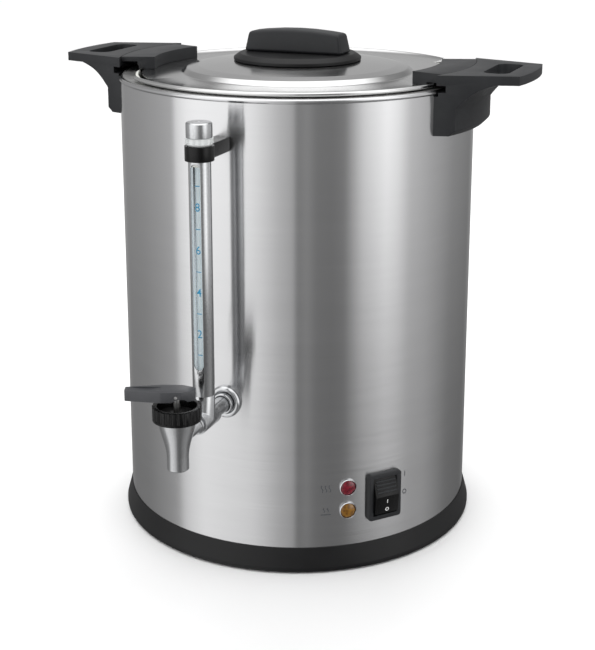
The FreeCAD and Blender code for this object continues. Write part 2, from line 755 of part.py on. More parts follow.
def tap_bonnet():
    """Castellated cup that screws on the tap and guides the stem."""
    floor_top = tap_top + bonnet_floor
    cup = disc(bonnet_radius, tap_top, tap_top + bonnet_height, 0, -tap_out)
    cup = cup.cut(disc(bonnet_radius - bonnet_wall, floor_top, tap_top + bonnet_height + 1, 0, -tap_out))
    cup = cup.fuse(disc(chamber_radius + 3 - seat_gap, tap_top - 3, tap_top, 0, -tap_out))
    grooves = []
    for x, y in around(bonnet_notches, bonnet_radius + 0.6, 0):
        grooves.append(disc(1.5, tap_top + 1.6, tap_top + bonnet_height + 1, x, y - tap_out))
    cup = cup.removeSplitter().cut(Part.makeCompound(grooves))
    return cup.cut(disc(stem_radius + running_gap, tap_top - 5, floor_top + 1, 0, -tap_out))


def tap_seat_cup():
    """Silicone cup that closes the seat."""
    low = seat_height + 0.3
    cup = turned([(0, low), (3.5, low), (cup_radius, low + 2.5), (cup_radius, low + cup_height - 1),
                  (cup_radius - 1, low + cup_height), (0, low + cup_height)], 0, -tap_out)
    return cup.cut(disc(stem_radius + running_gap, low + 2.7, low + cup_height + 1, 0, -tap_out))


def tap_stem():
    """Stem that lifts the cup, cross-drilled for the lever's pin."""
    stem = disc(stem_radius, seat_height + 3.1, pin_height + pin_radius + 0.4, 0, -tap_out)
    return stem.cut(swung_lever(rod(pin_radius + running_gap, -9, 9, pin_height)))


def tap_spring():
    """Coil that presses the cup on its seat."""
    low = seat_height + 0.3 + cup_height + 0.5
    high = tap_top - 3 - 0.5
    coil_radius = 4.6
    path = Part.makeHelix((high - low) / 5.0, high - low, coil_radius)
    section = Part.Wire(Part.makeCircle(0.45, Vector(coil_radius, 0, 0), Vector(0, 1, 0)))
    coil = Part.Wire(path).makePipeShell([section], True, True)
    coil.translate(Vector(0, -tap_out, low))
    return coil


def swung_lever(shape):
    """Moves a shape made about Z to the tap's axis, swung to where the lever stands."""
    shape.rotate(CENTRE, UP, lever_swing)
    shape.translate(Vector(0, -tap_out, 0))
    return shape


def tap_lever():
    """Kite-shaped paddle whose arched hub straddles the stem."""
    top = lever_bottom + lever_thickness
    half = [(-lever_reach, lever_tip_half), (-lever_hub_reach, lever_hub_half),
            (lever_heel - 10, lever_hub_half - 0.5), (lever_heel, 3.0)]
    points = [Vector(x, -y, lever_bottom) for x, y in half]
    points += [Vector(x, y, lever_bottom) for x, y in reversed(half)]
    paddle = polygon(points).extrude(Vector(0, 0, lever_thickness))
    paddle = paddle.makeFillet(1.5, upright_edges(paddle))
    dish = Part.makeCylinder(60, 2 * lever_tip_half, Vector(-lever_reach + 15, -lever_tip_half, top + 58.8),
                             Vector(0, 1, 0))
    arch = Part.makeCylinder(arch_radius, 40, Vector(arch_offset, -20, lever_bottom - 5), Vector(0, 1, 0))
    inner = stem_radius + moving_gap
    slot = block((-inner - 1.7, inner + 1.7), (-inner, inner), (lever_bottom - 1, pin_height + 3.1))
    lever = paddle.cut(dish).cut(arch).cut(slot)
    lever = lever.cut(rod(pin_radius + seat_gap, -20, 20, pin_height))
    return swung_lever(lever)


def tap_lever_pin():
    """Cross pin through the lever and the stem."""
    return swung_lever(rod(pin_radius, -lever_hub_half + 1, lever_hub_half - 1, pin_height))


# ---- Handles --------------------------------------------------------------------------------------
def handle_screw_places():
    """(y, z) of the screws that hold each handle."""
    return [(-24.0, rim_height - 20), (24.0, rim_height - 20)]


def handle_blank():
    """Bracket and grip on the +X side before the side cuts."""
    inner = shell_radius + seat_gap
    low = handle_top - handle_thickness
    recess = rim_height + 5.5
    points = [(inner, bracket_bottom), (inner, rim_height - 3), (inner + 2.4, rim_height - 3)]
    points += [(inner + 2.4, rim_height), (inner + 7, rim_height), (inner + 7, recess)]
    points += [(seam_radius, recess), (seam_radius, handle_top)]
    points += [(handle_reach, handle_top), (handle_reach, low), (gusset_reach, low)]
    for step in range(1, 8):
        share = step / 8.0
        swell = 3.0 * math.sin(math.pi * share)
        points.append((gusset_reach + (bracket_outer - gusset_reach) * share - swell * 0.5,
                       low + (gusset_bottom - low) * share + swell))
    points += [(bracket_outer, gusset_bottom), (bracket_outer, bracket_bottom + 4)]
    points += [(bracket_outer - 4, bracket_bottom)]
    sweep = math.degrees(math.asin(handle_root_half * 1.2 / shell_radius))
    return turned(points, angle=2 * sweep, start=-sweep)


def handle(side):
    """One handle: gusset bracket, grip with a finger slot, and the lock peg over the rim."""
    body = handle_blank()
    root = shell_radius - 1.0
    slope = (handle_end_half - handle_root_half) / (handle_reach - root)
    near_x = root - 20
    far_x = handle_reach + 10
    near_half = handle_root_half + slope * (near_x - root)
    far_half = handle_root_half + slope * (far_x - root)
    low = bracket_bottom - 50
    plan = polygon([Vector(near_x, -near_half, low), Vector(far_x, -far_half, low),
                    Vector(far_x, far_half, low), Vector(near_x, near_half, low)])
    body = body.common(plan.extrude(Vector(0, 0, 200)))
    slot = block((slot_inner, slot_outer), (-slot_half, slot_half), (low, low + 150))
    slot = slot.makeFillet(8.0, along_edges(slot, "z"))
    body = body.cut(slot)
    peg = wedge(lug_outer - peg_length, seam_radius + 1, peg_bottom, peg_bottom + peg_height,
                -peg_angle, peg_angle)
    body = body.fuse(peg).removeSplitter()
    for y, z in handle_screw_places():
        body = body.cut(Part.makeCylinder(2.05, 17, Vector(shell_radius - 8, y, z), Vector(1, 0, 0)))
    if side < 0:
        body = swung(body, 180)
    return body


def handle_backing_plate(side):
    """Steel plate inside the double wall that spreads the load of one handle."""
    outer = shell_radius - sheet - seat_gap
    plate = wedge(outer - 2, outer, rim_height - 30, rim_height - 8, -16, 16)
    for y, z in handle_screw_places():
        plate = plate.cut(Part.makeCylinder(2.4, 20, Vector(shell_radius - 20, y, z), Vector(1, 0, 0)))
    return swung(plate, 180 if side < 0 else 0)


def handle_screws():
    """Four screws, from inside the double wall through the backing plates."""
    screws = []
    for side in (0, 180):
        for y, z in handle_screw_places():
            inner = math.sqrt((shell_radius - sheet - 2 - seat_gap) ** 2 - (abs(y) + 4) ** 2) - seat_gap
            shaft = Part.makeCylinder(2.0, 11, Vector(inner, y, z), Vector(1, 0, 0))
            head = Part.makeCylinder(4.0, 2.6, Vector(inner - 2.6, y, z), Vector(1, 0, 0))
            screws.append(swung(shaft.fuse(head).removeSplitter(), side))
    return Part.makeCompound(screws)


# ---- Lid --------------------------------------------------------------------------------------------
def lid_pan():
    """Pressed lid: rolled edge, flat band, step and low dome, with a skirt that drops in the pot."""
    edge = lid_radius - lid_bead * 0.4
    top = [(edge, lid_bead_centre + 0.4), (lid_radius - 11, lid_flat), (lid_step_outer, lid_flat)]
    top += [(lid_step_inner, lid_flat + lid_step_rise), (knob_radius - 4, lid_crown), (0, lid_crown)]
    under = [(r, z - sheet) for r, z in reversed(top)]
    pan = turned(top + under)
    bead = Part.makeTorus(lid_radius, lid_bead, Vector(0, 0, lid_bead_centre))
    skirt = ring(skirt_outer, skirt_outer - sheet, lid_under - lid_skirt_depth, lid_under + 0.2)
    pan = pan.fuse(bead).fuse(skirt).removeSplitter()
    for side in (0, 180):
        pan = pan.cut(swung(lid_notch(), side))
        for x, y in lug_screw_places():
            pan = pan.cut(swung(disc(1.8, rim_height - 50, rim_height + 50, x, y), side))
    return pan.cut(disc(3.2, rim_height - 50, rim_height + 50))


def lid_notch():
    """Cut through the lid's edge from under the +X lug to its open end on the +Y side."""
    return wedge(lid_radius + 1 - notch_depth, lid_radius + 10, rim_height - 6,
                 rim_height + 10, -lug_angle + 3.5, notch_end)


def lid_seal():
    """Silicone ring between the lid's skirt and the pot."""
    inner = pot_inside - moving_gap - seal_thickness
    low = lid_under - lid_skirt_depth + moving_gap
    return ring(inner + seal_thickness, inner, low, lid_under - moving_gap)


def lug_screw_places():
    """(x, y) of the screws that hold a lug on the +X side."""
    middle = (lug_inner + lug_foot_outer) / 2
    return [(middle * math.cos(math.radians(a)), middle * math.sin(math.radians(a))) for a in (-11, 11)]


def lid_lug(side):
    """Hollow lug on the lid: a foot on the flat band and a roof that meets the handle."""
    lug = wedge(lug_inner, lug_outer, lug_under, handle_top, -lug_angle, lug_angle)
    foot = wedge(lug_inner, lug_foot_outer, lid_flat + seat_gap, lug_under + 1, -lug_angle, lug_angle)
    cavity = wedge(lug_foot_outer + 1, lug_outer + 5, lug_under - 5, cavity_top,
                   -lug_angle + 3.5, lug_angle + 5)
    lug = lug.fuse(foot).removeSplitter().cut(cavity)
    for x, y in lug_screw_places():
        lug = lug.cut(disc(1.55, lid_flat - 1, lid_flat + 8, x, y))
    return swung(lug, 180 if side < 0 else 0)


def lid_lug_screws():
    """Four screws from under the lid into the lugs."""
    screws = []
    for side in (0, 180):
        for x, y in lug_screw_places():
            screw = disc(1.5, lid_under - seat_gap, lid_flat + 7, x, y)
            screw = screw.fuse(disc(3.0, lid_under - 1.8, lid_under - seat_gap, x, y)).removeSplitter()
            screws.append(swung(screw, side))
    return Part.makeCompound(screws)


def knob_base():
    """Round plinth of the knob."""
    low = lid_crown + seat_gap
    high = lid_crown + knob_base_height
    plinth = turned([(0, low), (knob_radius, low), (knob_radius, low + 2.2),
                     (knob_top_radius + 0.8, high - 0.4), (knob_top_radius, high), (0, high)])
    return plinth.cut(disc(3.2, lid_crown - 50, lid_crown + 50))


def knob_grip():
    """Bar that the lid is turned and lifted by, arched on top and drafted on its flanks."""
    low = lid_crown + knob_base_height + seat_gap
    side_top = low + grip_height - grip_arch
    half = grip_length / 2
    draft = 3.0
    arch = Part.Arc(Vector(-half + draft, 0, side_top), Vector(0, 0, low + grip_height),
                    Vector(half - draft, 0, side_top)).toShape()
    rest = Part.makePolygon([Vector(half - draft, 0, side_top), Vector(half, 0, low), Vector(-half, 0, low),
                             Vector(-half + draft, 0, side_top)])
    bar = Part.Face(Part.Wire([arch] + rest.Edges)).extrude(Vector(0, grip_width, 0))
    bar.translate(Vector(0, -grip_width / 2, 0))
    lean = 2.5
    half_w = grip_width / 2
    section = polygon([Vector(-half - 5, -half_w, low), Vector(-half - 5, half_w, low),
                       Vector(-half - 5, half_w - lean, low + grip_height),
                       Vector(-half - 5, -half_w + lean, low + grip_height)])
    bar = bar.common(section.extrude(Vector(grip_length + 10, 0, 0)))
    return bar.cut(disc(2.55, low - 1, low + 12))


def knob_screw():
    """Screw and washer from under the lid, through the plinth, into the bar."""
    under = lid_crown - sheet - seat_gap
    screw = disc(2.5, under - 2, lid_crown + knob_base_height + 10)
    screw = screw.fuse(disc(9.0, under - 1.5, under)).fuse(disc(4.5, under - 5, under - 1.5))
    return screw.removeSplitter()


# ---- All nodes -----------------------------------------------------------------------------------------
nodes = {
    "outer_shell": outer_shell(),
    "inner_pot": inner_pot(),
    "base_ring": base_ring(),
    "base_plate": base_plate(),
    "base_screws": base_screws(),
    "foot_ring": foot_ring(),
    "heater_plate": heater_plate(),
    "boil_element": element(boil_ring, 12.0),
    "keep_warm_element": element(keep_warm_ring, 18.0),
    "heater_clamp": heater_clamp(),
    "heater_nut": heater_nut(),
    "boil_thermostat": thermostat(-20, 0, 9.0),
    "keep_warm_thermostat": thermostat(22, 0, 8.0),
    "thermal_fuse": thermal_fuse(),
    "terminal_block": terminal_block(),
    "power_inlet": power_inlet(),
    "inlet_pins": inlet_pins(),
    "inlet_screws": inlet_screws(),
    "switch_housing": switch_housing(),
    "switch_rocker": switch_rocker(),
    "switch_terminals": switch_terminals(),
    "lamp_bezels": lamp_bezels(),
    "heat_lamp_lens": lamp_lens(heat_lamp_height),
    "warm_lamp_lens": lamp_lens(warm_lamp_height),
    "lamp_holders": lamp_holders(),
    "tap_shank": tap_shank(),
    "shank_nut": shank_nut(),
    "shank_gasket": shank_gasket(),
    "wall_spacer": wall_spacer(),
    "wall_flange": wall_flange(),
    "gauge_foot": gauge_foot(),
    "gauge_shield": gauge_shield(),
    "gauge_glass": gauge_glass(),
    "gauge_seals": gauge_seals(),
    "gauge_clamp": gauge_clamp(),
    "gauge_clamp_screw": gauge_clamp_screw(),
    "gauge_collar": gauge_collar(),
    "gauge_cap": gauge_cap(),
    "tap_body": tap_body(),
    "tap_bonnet": tap_bonnet(),
    "tap_seat_cup": tap_seat_cup(),
    "tap_stem": tap_stem(),
    "tap_spring": tap_spring(),
    "tap_lever": tap_lever(),
    "tap_lever_pin": tap_lever_pin(),
    "left_handle": handle(-1),
    "right_handle": handle(1),
    "left_backing_plate": handle_backing_plate(-1),
    "right_backing_plate": handle_backing_plate(1),
    "handle_screws": handle_screws(),
    "lid_pan": lid_pan(),
    "lid_seal": lid_seal(),
    "left_lid_lug": lid_lug(-1),
    "right_lid_lug": lid_lug(1),
    "lid_lug_screws": lid_lug_screws(),
    "knob_base": knob_base(),
    "knob_screw": knob_screw(),
    "knob_grip": knob_grip(),
}

os.makedirs("parts", exist_ok=True)
for name, shape in nodes.items():
    shape.exportStep("parts/" + name + ".step")
    print(name, len(shape.Solids), "solids", shape.isValid(), round(shape.Volume, 1))
print(len(nodes), "nodes")
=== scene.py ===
# %% [markdown]
# # A brew kettle, finished in Blender
# The kettle's design is already packed: every piece has its real size and place, and the pieces that move
# ride on bodies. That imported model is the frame. This lesson dresses it: it loads the frame, makes smooth
# and bevelled versions of the pieces that show, gives every surface its finish, and lights it like a
# studio.

# %% Load the frame
import json
import math

import bpy
from mathutils import Matrix, Vector

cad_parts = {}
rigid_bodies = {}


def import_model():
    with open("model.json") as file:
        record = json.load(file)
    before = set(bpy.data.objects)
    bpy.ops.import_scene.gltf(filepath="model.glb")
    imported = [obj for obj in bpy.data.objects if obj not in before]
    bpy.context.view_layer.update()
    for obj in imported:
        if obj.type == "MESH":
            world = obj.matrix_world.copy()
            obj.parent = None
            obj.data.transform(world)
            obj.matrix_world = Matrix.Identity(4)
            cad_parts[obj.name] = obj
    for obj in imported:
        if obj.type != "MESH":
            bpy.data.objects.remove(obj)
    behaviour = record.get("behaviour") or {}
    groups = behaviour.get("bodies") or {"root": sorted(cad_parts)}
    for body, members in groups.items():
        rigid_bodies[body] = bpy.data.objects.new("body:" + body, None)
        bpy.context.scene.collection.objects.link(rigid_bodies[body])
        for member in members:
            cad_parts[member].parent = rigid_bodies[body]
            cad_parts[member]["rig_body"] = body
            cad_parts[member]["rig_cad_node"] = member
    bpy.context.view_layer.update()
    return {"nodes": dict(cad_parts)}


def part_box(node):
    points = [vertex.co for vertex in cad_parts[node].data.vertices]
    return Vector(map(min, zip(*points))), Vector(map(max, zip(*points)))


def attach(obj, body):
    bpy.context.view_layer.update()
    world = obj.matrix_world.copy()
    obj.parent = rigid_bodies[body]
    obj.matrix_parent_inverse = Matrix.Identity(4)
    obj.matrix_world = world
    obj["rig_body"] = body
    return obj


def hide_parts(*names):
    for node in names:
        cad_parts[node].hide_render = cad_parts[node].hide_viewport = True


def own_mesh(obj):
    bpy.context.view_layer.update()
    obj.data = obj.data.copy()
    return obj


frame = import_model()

print("pieces in the frame:", len(frame["nodes"]))

# %% [markdown]
# ## Measuring from the frame
# Blender works in metres, and a maker thinks in millimetres. `MM` turns one into the other. Places are read
# from the frame's own boxes, so a piece made here always lands on the piece it stands for.

# %% Boxes in millimetres
MM = 0.001


def low_high(node):
    """Lowest and highest corner of a frame piece, in millimetres."""
    low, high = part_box(node)
    return low / MM, high / MM


def mid_height(node):
    """Height of the middle of a frame piece, in millimetres."""
    low, high = low_high(node)
    return (low.z + high.z) / 2


shell_low, shell_high = low_high("outer_shell")
lid_low, lid_high = low_high("lid_pan")
bead_radius = 1.9
bead_inset = 0.4
sheet = 0.8
shell_radius = shell_high.x - bead_radius + bead_inset
rim_height = shell_high.z - bead_radius
print(f"shell radius {shell_radius:.1f} mm, rim at {rim_height:.1f} mm")

# %% [markdown]
# ## Working as by hand
# An operator acts on everything that is selected, so each step starts by selecting nothing, and then only
# what it needs. A finished piece has its origin at the world's origin, with its place in its mesh.


# %% Selecting and settling
def select_none():
    """Object mode, with nothing selected."""
    if bpy.context.object and bpy.context.object.mode != "OBJECT":
        bpy.ops.object.mode_set(mode="OBJECT")
    bpy.ops.object.select_all(action="DESELECT")


def take(piece):
    """Makes one piece the selected and active one."""
    select_none()
    piece.select_set(True)
    bpy.context.view_layer.objects.active = piece


def settle(piece):
    """Puts a piece's place and turn into its mesh."""
    take(piece)
    bpy.ops.object.transform_apply(location=True, rotation=True, scale=True)
    return piece


def apply_modifier(piece, kind, **settings):
    """Adds a modifier, sets it and applies it."""
    take(piece)
    modifier = piece.modifiers.new(kind.title(), kind)
    for name, value in settings.items():
        setattr(modifier, name, value)
    bpy.ops.object.modifier_apply(modifier=modifier.name)
    return piece


# %% [markdown]
# ## Outlines
# Most of this kettle is round: a sheet metal spinner, a glass blower and a lathe all make shapes by turning
# one outline about an axis. An outline is a short list of corners, and real corners are never sharp, so
# `rounded` replaces each with an arc. `arc` gives the points of a rolled edge.


# %% Arcs and rounded corners
def arc(centre, radius, start, end, steps=8):
    """Points on an arc, with angles in degrees."""
    points = []
    for step in range(steps + 1):
        turn = math.radians(start + (end - start) * step / steps)
        points.append((centre[0] + radius * math.cos(turn), centre[1] + radius * math.sin(turn)))
    return points


def rounded(points, radius, closed=False, steps=4):
    """The same outline with each corner rounded, as far as the sides beside it allow."""
    made = []
    count = len(points)
    for index, corner in enumerate(points):
        if not closed and index in (0, count - 1):
            made.append(tuple(corner))
            continue
        here = Vector(corner)
        back = Vector(points[index - 1]) - here
        ahead = Vector(points[(index + 1) % count]) - here
        turn = math.pi - back.angle(ahead, 0.0)
        if turn < 0.05:
            made.append(tuple(corner))
            continue
        reach = min(radius * math.tan(turn / 2), 0.45 * back.length, 0.45 * ahead.length)
        first = here + back.normalized() * reach
        last = here + ahead.normalized() * reach
        for step in range(steps + 1):
            share = step / steps
            point = first * (1 - share) ** 2 + here * (2 * share * (1 - share)) + last * share ** 2
            made.append(tuple(point))
    return made


square = rounded([(0, 0), (9, 0), (9, 9), (0, 9)], 2, closed=True)
print("a square with rounded corners has", len(square), "points")


# %% [markdown]
# ## Turning and extruding
# A plane is merged to a single vertex, and the vertex is extruded along the outline. Spin then turns the
# outline into a round piece, and Fill with an extrude turns a plan into a block. Doubles are merged before
# the normals are recalculated, so that a thin wall keeps its inside inside.


# %% Turned and extruded pieces
merge_gap = 0.004 * MM


def draw(name, points, start=(0.0, 0.0, 0.0)):
    """Extrudes one vertex along points (in mm) and stays in edit mode with everything selected."""
    select_none()
    first = Vector(start) + Vector(points[0])
    bpy.ops.mesh.primitive_plane_add(size=MM, location=first * MM)
    piece = bpy.context.object
    piece.name = name
    piece.data.name = name
    bpy.ops.object.mode_set(mode="EDIT")
    bpy.ops.mesh.merge(type="CENTER")
    for here, there in zip(points, points[1:]):
        step = (Vector(there) - Vector(here)) * MM
        bpy.ops.mesh.extrude_region_move(TRANSFORM_OT_translate={"value": step})
    bpy.ops.mesh.select_all(action="SELECT")
    return piece


def tidy_mesh(piece):
    """Merges doubles, turns the faces outwards and leaves edit mode."""
    bpy.ops.mesh.select_all(action="SELECT")
    bpy.ops.mesh.remove_doubles(threshold=merge_gap)
    bpy.ops.mesh.normals_make_consistent(inside=False)
    bpy.ops.object.mode_set(mode="OBJECT")
    return settle(piece)


def turned(name, outline, centre=(0.0, 0.0), steps=96, angle=360.0, start=0.0):
    """Spins an outline of (radius, height) corners about an upright axis."""
    loop = list(outline)
    if loop[0][0] > 0.001 or loop[-1][0] > 0.001:
        loop.append(loop[0])
    turn = math.radians(start)
    points = [(r * math.cos(turn), r * math.sin(turn), z) for r, z in loop]
    piece = draw(name, points, (centre[0], centre[1], 0.0))
    middle = Vector((centre[0], centre[1], 0.0)) * MM
    bpy.ops.mesh.spin(steps=steps, angle=-math.radians(angle), center=middle, axis=(0, 0, 1))
    if angle < 360:
        bpy.ops.mesh.select_all(action="SELECT")
        bpy.ops.mesh.remove_doubles(threshold=merge_gap)
        bpy.ops.mesh.select_all(action="DESELECT")
        bpy.ops.mesh.select_non_manifold()
        bpy.ops.mesh.edge_face_add()
    return tidy_mesh(piece)


def extruded(name, plan, low, high):
    """Upright block from a plan of (x, y) corners."""
    points = [(x, y, low) for x, y in plan]
    piece = draw(name, points + points[:1])
    bpy.ops.mesh.remove_doubles(threshold=merge_gap)
    bpy.ops.mesh.select_all(action="SELECT")
    bpy.ops.mesh.edge_face_add()
    bpy.ops.mesh.extrude_region_move(TRANSFORM_OT_translate={"value": (0, 0, (high - low) * MM)})
    return tidy_mesh(piece)


def face_front(piece, angle, height):
    """Turns a piece made along +Z so that it points out of the kettle's wall at an angle from the tap."""
    turn = Matrix.Rotation(math.radians(angle), 4, "Z") @ Matrix.Rotation(math.radians(90), 4, "X")
    piece.matrix_world = Matrix.Translation((0, 0, height * MM)) @ turn
    return settle(piece)


def rectangle(width, depth, x=0.0, y=0.0):
    """Corners of a rectangle about a point."""
    return [(x - width / 2, y - depth / 2), (x + width / 2, y - depth / 2),
            (x + width / 2, y + depth / 2), (x - width / 2, y + depth / 2)]


def combine(piece, tool, operation="DIFFERENCE"):
    """Cuts a tool out of a piece, or joins it on, and removes the tool."""
    apply_modifier(piece, "BOOLEAN", object=tool, operation=operation, solver="EXACT")
    bpy.data.objects.remove(tool)
    return piece


def from_cad(name, node):
    """Copy of a frame piece with its triangles merged into clean flat faces, ready for a bevel."""
    piece = frame["nodes"][node].copy()
    piece.data = piece.data.copy()
    piece.name = name
    piece.parent = None
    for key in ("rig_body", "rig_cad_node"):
        if key in piece:
            del piece[key]
    bpy.context.scene.collection.objects.link(piece)
    take(piece)
    bpy.ops.object.mode_set(mode="EDIT")
    bpy.ops.mesh.select_all(action="SELECT")
    bpy.ops.mesh.remove_doubles(threshold=merge_gap)
    bpy.ops.mesh.customdata_custom_splitnormals_clear()
    bpy.ops.mesh.dissolve_limited(angle_limit=math.radians(0.8))
    bpy.ops.object.mode_set(mode="OBJECT")
    piece.data.materials.clear()
    return piece


def soften(piece, width, segments=3, angle=35, smooth=40):
    """Bevels the sharp edges and shades the rest smooth."""
    if width:
        apply_modifier(piece, "BEVEL", width=width * MM, segments=segments, limit_method="ANGLE",
                       angle_limit=math.radians(angle), use_clamp_overlap=True, miter_outer="MITER_ARC")
    take(piece)
    bpy.ops.object.shade_smooth_by_angle(angle=math.radians(smooth))
    return piece


# %% [markdown]
# ## Materials
# Each material starts from what the real one is. One helper adds a node with its settings, its values and
# its links, and one function turns an sRGB hex colour to the linear values that Blender works in.


# %% Colour and node helpers
def linear(code):
    """Linear RGBA from an sRGB hex colour."""
    values = []
    for index in (0, 2, 4):
        part = int(code[index:index + 2], 16) / 255
        values.append(part / 12.92 if part <= 0.04045 else ((part + 0.055) / 1.055) ** 2.4)
    return (*values, 1.0)


def add_node(tree, kind, settings=None, values=None, links=None):
    """Adds a node, sets its properties and sockets, and links other nodes' outputs to it."""
    node = tree.nodes.new(kind)
    for name, value in (settings or {}).items():
        setattr(node, name, value)
    for name, value in (values or {}).items():
        node.inputs[name].default_value = value
    for name, socket in (links or {}).items():
        tree.links.new(socket, node.inputs[name])
    return node


def new_material(name, values):
    """A material with one Principled shader whose sockets hold the values."""
    material = bpy.data.materials.new(name)
    material.use_nodes = True
    tree = material.node_tree
    tree.nodes.clear()
    shader = add_node(tree, "ShaderNodeBsdfPrincipled", values=values)
    add_node(tree, "ShaderNodeOutputMaterial", links={"Surface": shader.outputs["BSDF"]})
    return material, tree, shader


def mapped(tree, scale):
    """Object coordinates, scaled in turns per metre along each axis."""
    place = add_node(tree, "ShaderNodeTexCoord")
    return add_node(tree, "ShaderNodeMapping", values={"Scale": scale},
                    links={"Vector": place.outputs["Object"]}).outputs["Vector"]


# The range of grey that is stretched over the two colours, or the two values, of a finish.
noise_low = 0.3
noise_high = 0.7


def noise(tree, vector, detail=3.0, rough=0.55):
    """Grey noise on a vector, at one turn per unit."""
    node = add_node(tree, "ShaderNodeTexNoise", values={"Scale": 1.0, "Detail": detail, "Roughness": rough},
                    links={"Vector": vector})
    return node.outputs["Fac"]


def spread(tree, fac, low, high):
    """Stretches a grey value to the range low to high."""
    node = add_node(tree, "ShaderNodeMapRange",
                    values={"From Min": noise_low, "From Max": noise_high, "To Min": low, "To Max": high},
                    links={"Value": fac})
    return node.outputs["Result"]


def tint(tree, fac, dark, light):
    """Colour between two hex colours by a grey value."""
    ramp = add_node(tree, "ShaderNodeValToRGB", links={"Fac": fac})
    stops = ((noise_low, dark), (noise_high, light))
    for element, (position, code) in zip(ramp.color_ramp.elements, stops):
        element.position = position
        element.color = linear(code)
    return ramp.outputs["Color"]


def drifting(tree, shader, fac, dark, light, smooth, dull):
    """Lets the shader's colour and roughness drift with a grey value."""
    tree.links.new(tint(tree, fac, dark, light), shader.inputs["Base Color"])
    tree.links.new(spread(tree, fac, smooth, dull), shader.inputs["Roughness"])


def bumped(tree, shader, fac, depth):
    """Bump on the shader from a grey value, with its depth in millimetres."""
    bump = add_node(tree, "ShaderNodeBump", values={"Strength": 1.0, "Distance": depth * MM},
                    links={"Height": fac})
    tree.links.new(bump.outputs["Normal"], shader.inputs["Normal"])


print("linear middle grey:", round(linear("808080")[0], 3))

# %% [markdown]
# ## Brushed stainless steel
# The body is a stainless sheet, ground on a belt before it is rolled, so the scratches run round the
# kettle. They scatter light up and down and hardly sideways: reflections keep sharp sides and smear
# upwards. That is anisotropy, with its direction taken from a radial tangent. The real scratches are
# about 0.05 mm apart; they are drawn 0.5 mm apart here, so that they show.


# %% Brushed, spun and satin steel
def brushed_steel():
    """Belt-ground stainless sheet: horizontal scratches that smear reflections upwards."""
    material, tree, shader = new_material("belt_ground_stainless", {
        "Base Color": linear("CBCBCC"), "Metallic": 1.0, "Roughness": 0.19, "Anisotropic": 0.95,
        "Anisotropic Rotation": 0.25})
    scratch = noise(tree, mapped(tree, (14.0, 14.0, 2000.0)), 4.0, 0.6)
    patch = noise(tree, mapped(tree, (6.0, 6.0, 60.0)), 2.0)
    both = add_node(tree, "ShaderNodeMath", {"operation": "MULTIPLY_ADD"}, {1: 0.75}, {0: scratch})
    tree.links.new(spread(tree, patch, 0.06, 0.19), both.inputs[2])
    drifting(tree, shader, both.outputs[0], "C8C8C9", "CECECF", 0.17, 0.21)
    tangent = add_node(tree, "ShaderNodeTangent", {"direction_type": "RADIAL", "axis": "Z"})
    tree.links.new(tangent.outputs["Tangent"], shader.inputs["Tangent"])
    bumped(tree, shader, scratch, 0.0006)
    return material


def spun_steel():
    """Pressed and polished lid steel: fine rings round the middle, brighter and smoother than the body."""
    material, tree, shader = new_material("polished_pressed_stainless", {
        "Base Color": linear("D2D2D2"), "Metallic": 1.0, "Roughness": 0.16, "Anisotropic": 0.35,
        "Anisotropic Rotation": 0.25})
    place = add_node(tree, "ShaderNodeTexCoord")
    flat = add_node(tree, "ShaderNodeVectorMath", {"operation": "MULTIPLY"}, {1: (1, 1, 0)},
                    {0: place.outputs["Object"]})
    radius = add_node(tree, "ShaderNodeVectorMath", {"operation": "LENGTH"},
                      links={0: flat.outputs["Vector"]})
    rings = add_node(tree, "ShaderNodeCombineXYZ", links={"X": radius.outputs["Value"]})
    scaled = add_node(tree, "ShaderNodeMapping", values={"Scale": (1400.0, 1.0, 1.0)},
                      links={"Vector": rings.outputs["Vector"]})
    ring_noise = noise(tree, scaled.outputs["Vector"], 3.0)
    haze = noise(tree, mapped(tree, (22.0, 22.0, 22.0)), 3.0)
    tree.links.new(tint(tree, ring_noise, "C9C9C9", "D8D8D8"), shader.inputs["Base Color"])
    tree.links.new(spread(tree, haze, 0.12, 0.2), shader.inputs["Roughness"])
    tangent = add_node(tree, "ShaderNodeTangent", {"direction_type": "RADIAL", "axis": "Z"})
    tree.links.new(tangent.outputs["Tangent"], shader.inputs["Tangent"])
    bumped(tree, shader, ring_noise, 0.003)
    return material


def satin_steel():
    """Drawn pot steel: dull, with no direction."""
    material, tree, shader = new_material("satin_drawn_stainless", {
        "Base Color": linear("BDBDBC"), "Metallic": 1.0, "Roughness": 0.34})
    cloud = noise(tree, mapped(tree, (180.0, 180.0, 180.0)), 4.0)
    drifting(tree, shader, cloud, "B3B3B2", "C6C6C5", 0.28, 0.4)
    bumped(tree, shader, cloud, 0.01)
    return material


brushed = brushed_steel()
spun = spun_steel()
satin = satin_steel()
print("steels:", brushed.name, spun.name, satin.name)

# %% [markdown]
# ## Plated metal
# The tap, its arm, the gauge tube and the lamp rings are brass, turned and plated with nickel and chrome.
# The plating is bright, with a faint satin from the turning under it. Small fixings are zinc plated, the
# terminals are bare brass and the heater plate is cast aluminium.


# %% Plated and cast metal
def metal(name, dark, light, smooth, dull, grain, depth):
    """Metal whose tone and dullness drift a little, at a grain size in millimetres."""
    material, tree, shader = new_material(name, {
        "Base Color": linear(light), "Metallic": 1.0, "Roughness": smooth})
    turns = 1 / (grain * MM)
    cloud = noise(tree, mapped(tree, (turns, turns, turns)), 4.0)
    drifting(tree, shader, cloud, dark, light, smooth, dull)
    bumped(tree, shader, cloud, depth)
    return material


